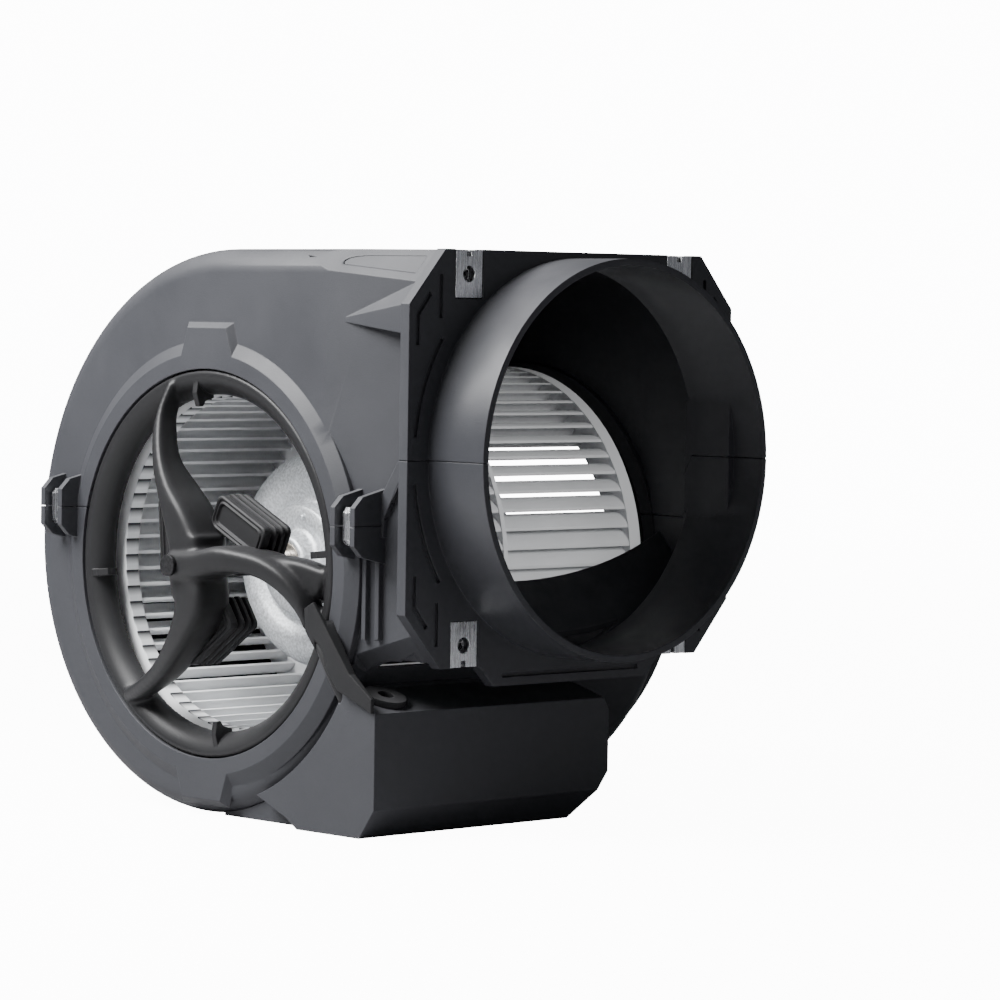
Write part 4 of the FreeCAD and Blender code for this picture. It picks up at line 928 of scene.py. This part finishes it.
def make_floor():
    """A pale round floor that fades into the background."""
    mesh = bpy.data.meshes.new("floor")
    shape = bmesh.new()
    bmesh.ops.create_circle(shape, cap_ends=True, segments=96, radius=FLOOR_RADIUS)
    shape.to_mesh(mesh)
    shape.free()
    floor = bpy.data.objects.new("floor", mesh)
    floor.location = (0.0, AXIS_Y, FLOOR_Z - FLOOR_GAP)
    bpy.context.scene.collection.objects.link(floor)
    material, tree, shader = new_material("floor")
    shader.inputs["Base Color"].default_value = (0.42, 0.42, 0.43, 1.0)
    shader.inputs["Roughness"].default_value = 0.7
    shader.inputs["Specular IOR Level"].default_value = 0.2
    where = add(tree, "ShaderNodeTexCoord")
    length = add(tree, "ShaderNodeVectorMath", operation="LENGTH")
    wire(tree, where.outputs["Object"], length.inputs[0])
    wire(tree, ranged(tree, length.outputs["Value"], 1.0, 0.0, 0.45, 2.2), shader.inputs["Alpha"])
    path = add(tree, "ShaderNodeLightPath")
    shader.inputs["Emission Color"].default_value = (1.0, 1.0, 1.0, 1.0)
    wire(tree, ranged(tree, path.outputs["Is Camera Ray"], 0.0, 12.0),
         shader.inputs["Emission Strength"])
    floor.data.materials.append(material)


def soft_light(name, place, size, power, target):
    """A large area light that looks at a target."""
    data = bpy.data.lights.new(name, "AREA")
    data.shape = "RECTANGLE"
    data.size, data.size_y = size
    data.energy = power
    lamp = bpy.data.objects.new(name, data)
    lamp.location = place
    lamp.rotation_euler = (Vector(target) - Vector(place)).to_track_quat("-Z", "Y").to_euler()
    bpy.context.scene.collection.objects.link(lamp)
    return lamp


def lit_alone(lamp, names):
    """Make a light reach some of the blower's parts and no others."""
    parts = bpy.data.collections.new(lamp.name + "_reaches")
    for name in names:
        parts.objects.link(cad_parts[name])
    lamp.light_linking.receiver_collection = parts
    lamp.light_linking.blocker_collection = parts


# The other lights' power as a share of the key light's.
OVERHEAD_SHARE = 0.5
OUTLET_SHARE = 0.06
BLADE_SHARE = 0.30
MOTOR_SHARE = 0.40


def make_lights(stage):
    """Soft lights for all, one for the wheel alone and one for the motor alone, and a white room."""
    middle = (0.0, AXIS_Y, AXIS_Z)
    soft_light("inlet_side", (-0.52, 0.27, 0.50), (0.5, 0.4), stage.key_power,
               (-0.09, AXIS_Y + 0.02, 0.0))
    soft_light("overhead", (-0.25, 0.60, 1.3), (1.2, 0.9), stage.key_power * OVERHEAD_SHARE, middle)
    soft_light("outlet_side", (0.7, -1.6, 0.5), (0.8, 0.8), stage.key_power * OUTLET_SHARE, middle)
    blades = soft_light("blade_light", (0.25, -0.95, 0.30), (0.5, 0.5), stage.key_power * BLADE_SHARE,
                        middle)
    lit_alone(blades, NODE_FINISH["wheel_plastic"])
    motor = soft_light("motor_light", (-0.75, -0.40, 0.35), (0.4, 0.4), stage.key_power * MOTOR_SHARE,
                       middle)
    lit_alone(motor, NODE_FINISH["bronze"] + NODE_FINISH["spring_steel"])
    motor.light_linking.receiver_collection.objects.link(bpy.data.objects["motor_cap_turned"])
    world = bpy.data.worlds.new("white_room")
    world.use_nodes = True
    tree = world.node_tree
    shown = tree.nodes["Background"]
    shown.inputs["Color"].default_value = (0.955, 0.957, 0.965, 1.0)
    shown.inputs["Strength"].default_value = 14.0
    shining = add(tree, "ShaderNodeBackground")
    shining.inputs["Color"].default_value = (0.90, 0.93, 1.0, 1.0)
    shining.inputs["Strength"].default_value = 0.14
    path = add(tree, "ShaderNodeLightPath")
    either = add(tree, "ShaderNodeMixShader")
    wire(tree, path.outputs["Is Camera Ray"], either.inputs[0])
    wire(tree, shining.outputs[0], either.inputs[1])
    wire(tree, shown.outputs[0], either.inputs[2])
    wire(tree, either.outputs[0], tree.nodes["World Output"].inputs["Surface"])
    bpy.context.scene.world = world


def make_camera(scene, stage):
    """The camera, from its yaw, pitch and roll."""
    data = bpy.data.cameras.new("camera")
    data.lens = stage.lens
    data.sensor_width = 36.0
    data.clip_end = 50.0
    camera = bpy.data.objects.new("camera", data)
    turn, dip = stage.yaw, stage.pitch
    right = Vector((math.cos(turn), -math.sin(turn), 0.0))
    forward = Vector((math.sin(turn) * math.cos(dip), math.cos(turn) * math.cos(dip), -math.sin(dip)))
    up = right.cross(forward)
    cosine, sine = math.cos(stage.roll), math.sin(stage.roll)
    across = right * cosine + up * sine
    upright = up * cosine - right * sine
    columns = Matrix((across, upright, -forward)).transposed()
    camera.matrix_world = Matrix.Translation(Vector(stage.place)) @ columns.to_4x4()
    scene.collection.objects.link(camera)
    scene.camera = camera


# ---------------------------------------------------------------- panel and registration

class BLOWER_PT_panel(bpy.types.Panel):
    """The blower's pieces and settings"""
    bl_label = "Blower"
    bl_idname = "BLOWER_PT_panel"
    bl_space_type = "VIEW_3D"
    bl_region_type = "UI"
    bl_category = "Blower"

    def draw(self, context):
        for settings in (context.scene.blower_finish, context.scene.blower_support,
                         context.scene.blower_stage):
            for name in settings.bl_rna.properties.keys():
                if name not in ("rna_type", "name"):
                    self.layout.prop(settings, name)
        for operator in OPERATORS:
            self.layout.operator(operator.bl_idname)


OPERATORS = (BLOWER_OT_finishes, BLOWER_OT_support, BLOWER_OT_dampers, BLOWER_OT_motor,
             BLOWER_OT_corners, BLOWER_OT_seam_shade, BLOWER_OT_stage)
CLASSES = (BlowerFinish, BlowerSupport, BlowerStage, *OPERATORS, BLOWER_PT_panel)


def register():
    for made in CLASSES:
        bpy.utils.register_class(made)
    bpy.types.Scene.blower_finish = PointerProperty(type=BlowerFinish)
    bpy.types.Scene.blower_support = PointerProperty(type=BlowerSupport)
    bpy.types.Scene.blower_stage = PointerProperty(type=BlowerStage)


def unregister():
    del bpy.types.Scene.blower_finish
    del bpy.types.Scene.blower_support
    del bpy.types.Scene.blower_stage
    for made in reversed(CLASSES):
        bpy.utils.unregister_class(made)


def main():
    register()
    bpy.ops.blower.finishes()
    bpy.ops.blower.support()
    bpy.ops.blower.dampers()
    bpy.ops.blower.motor()
    bpy.ops.blower.corners()
    bpy.ops.blower.seal()
    bpy.ops.blower.stage()


if __name__ == "__main__":
    main()
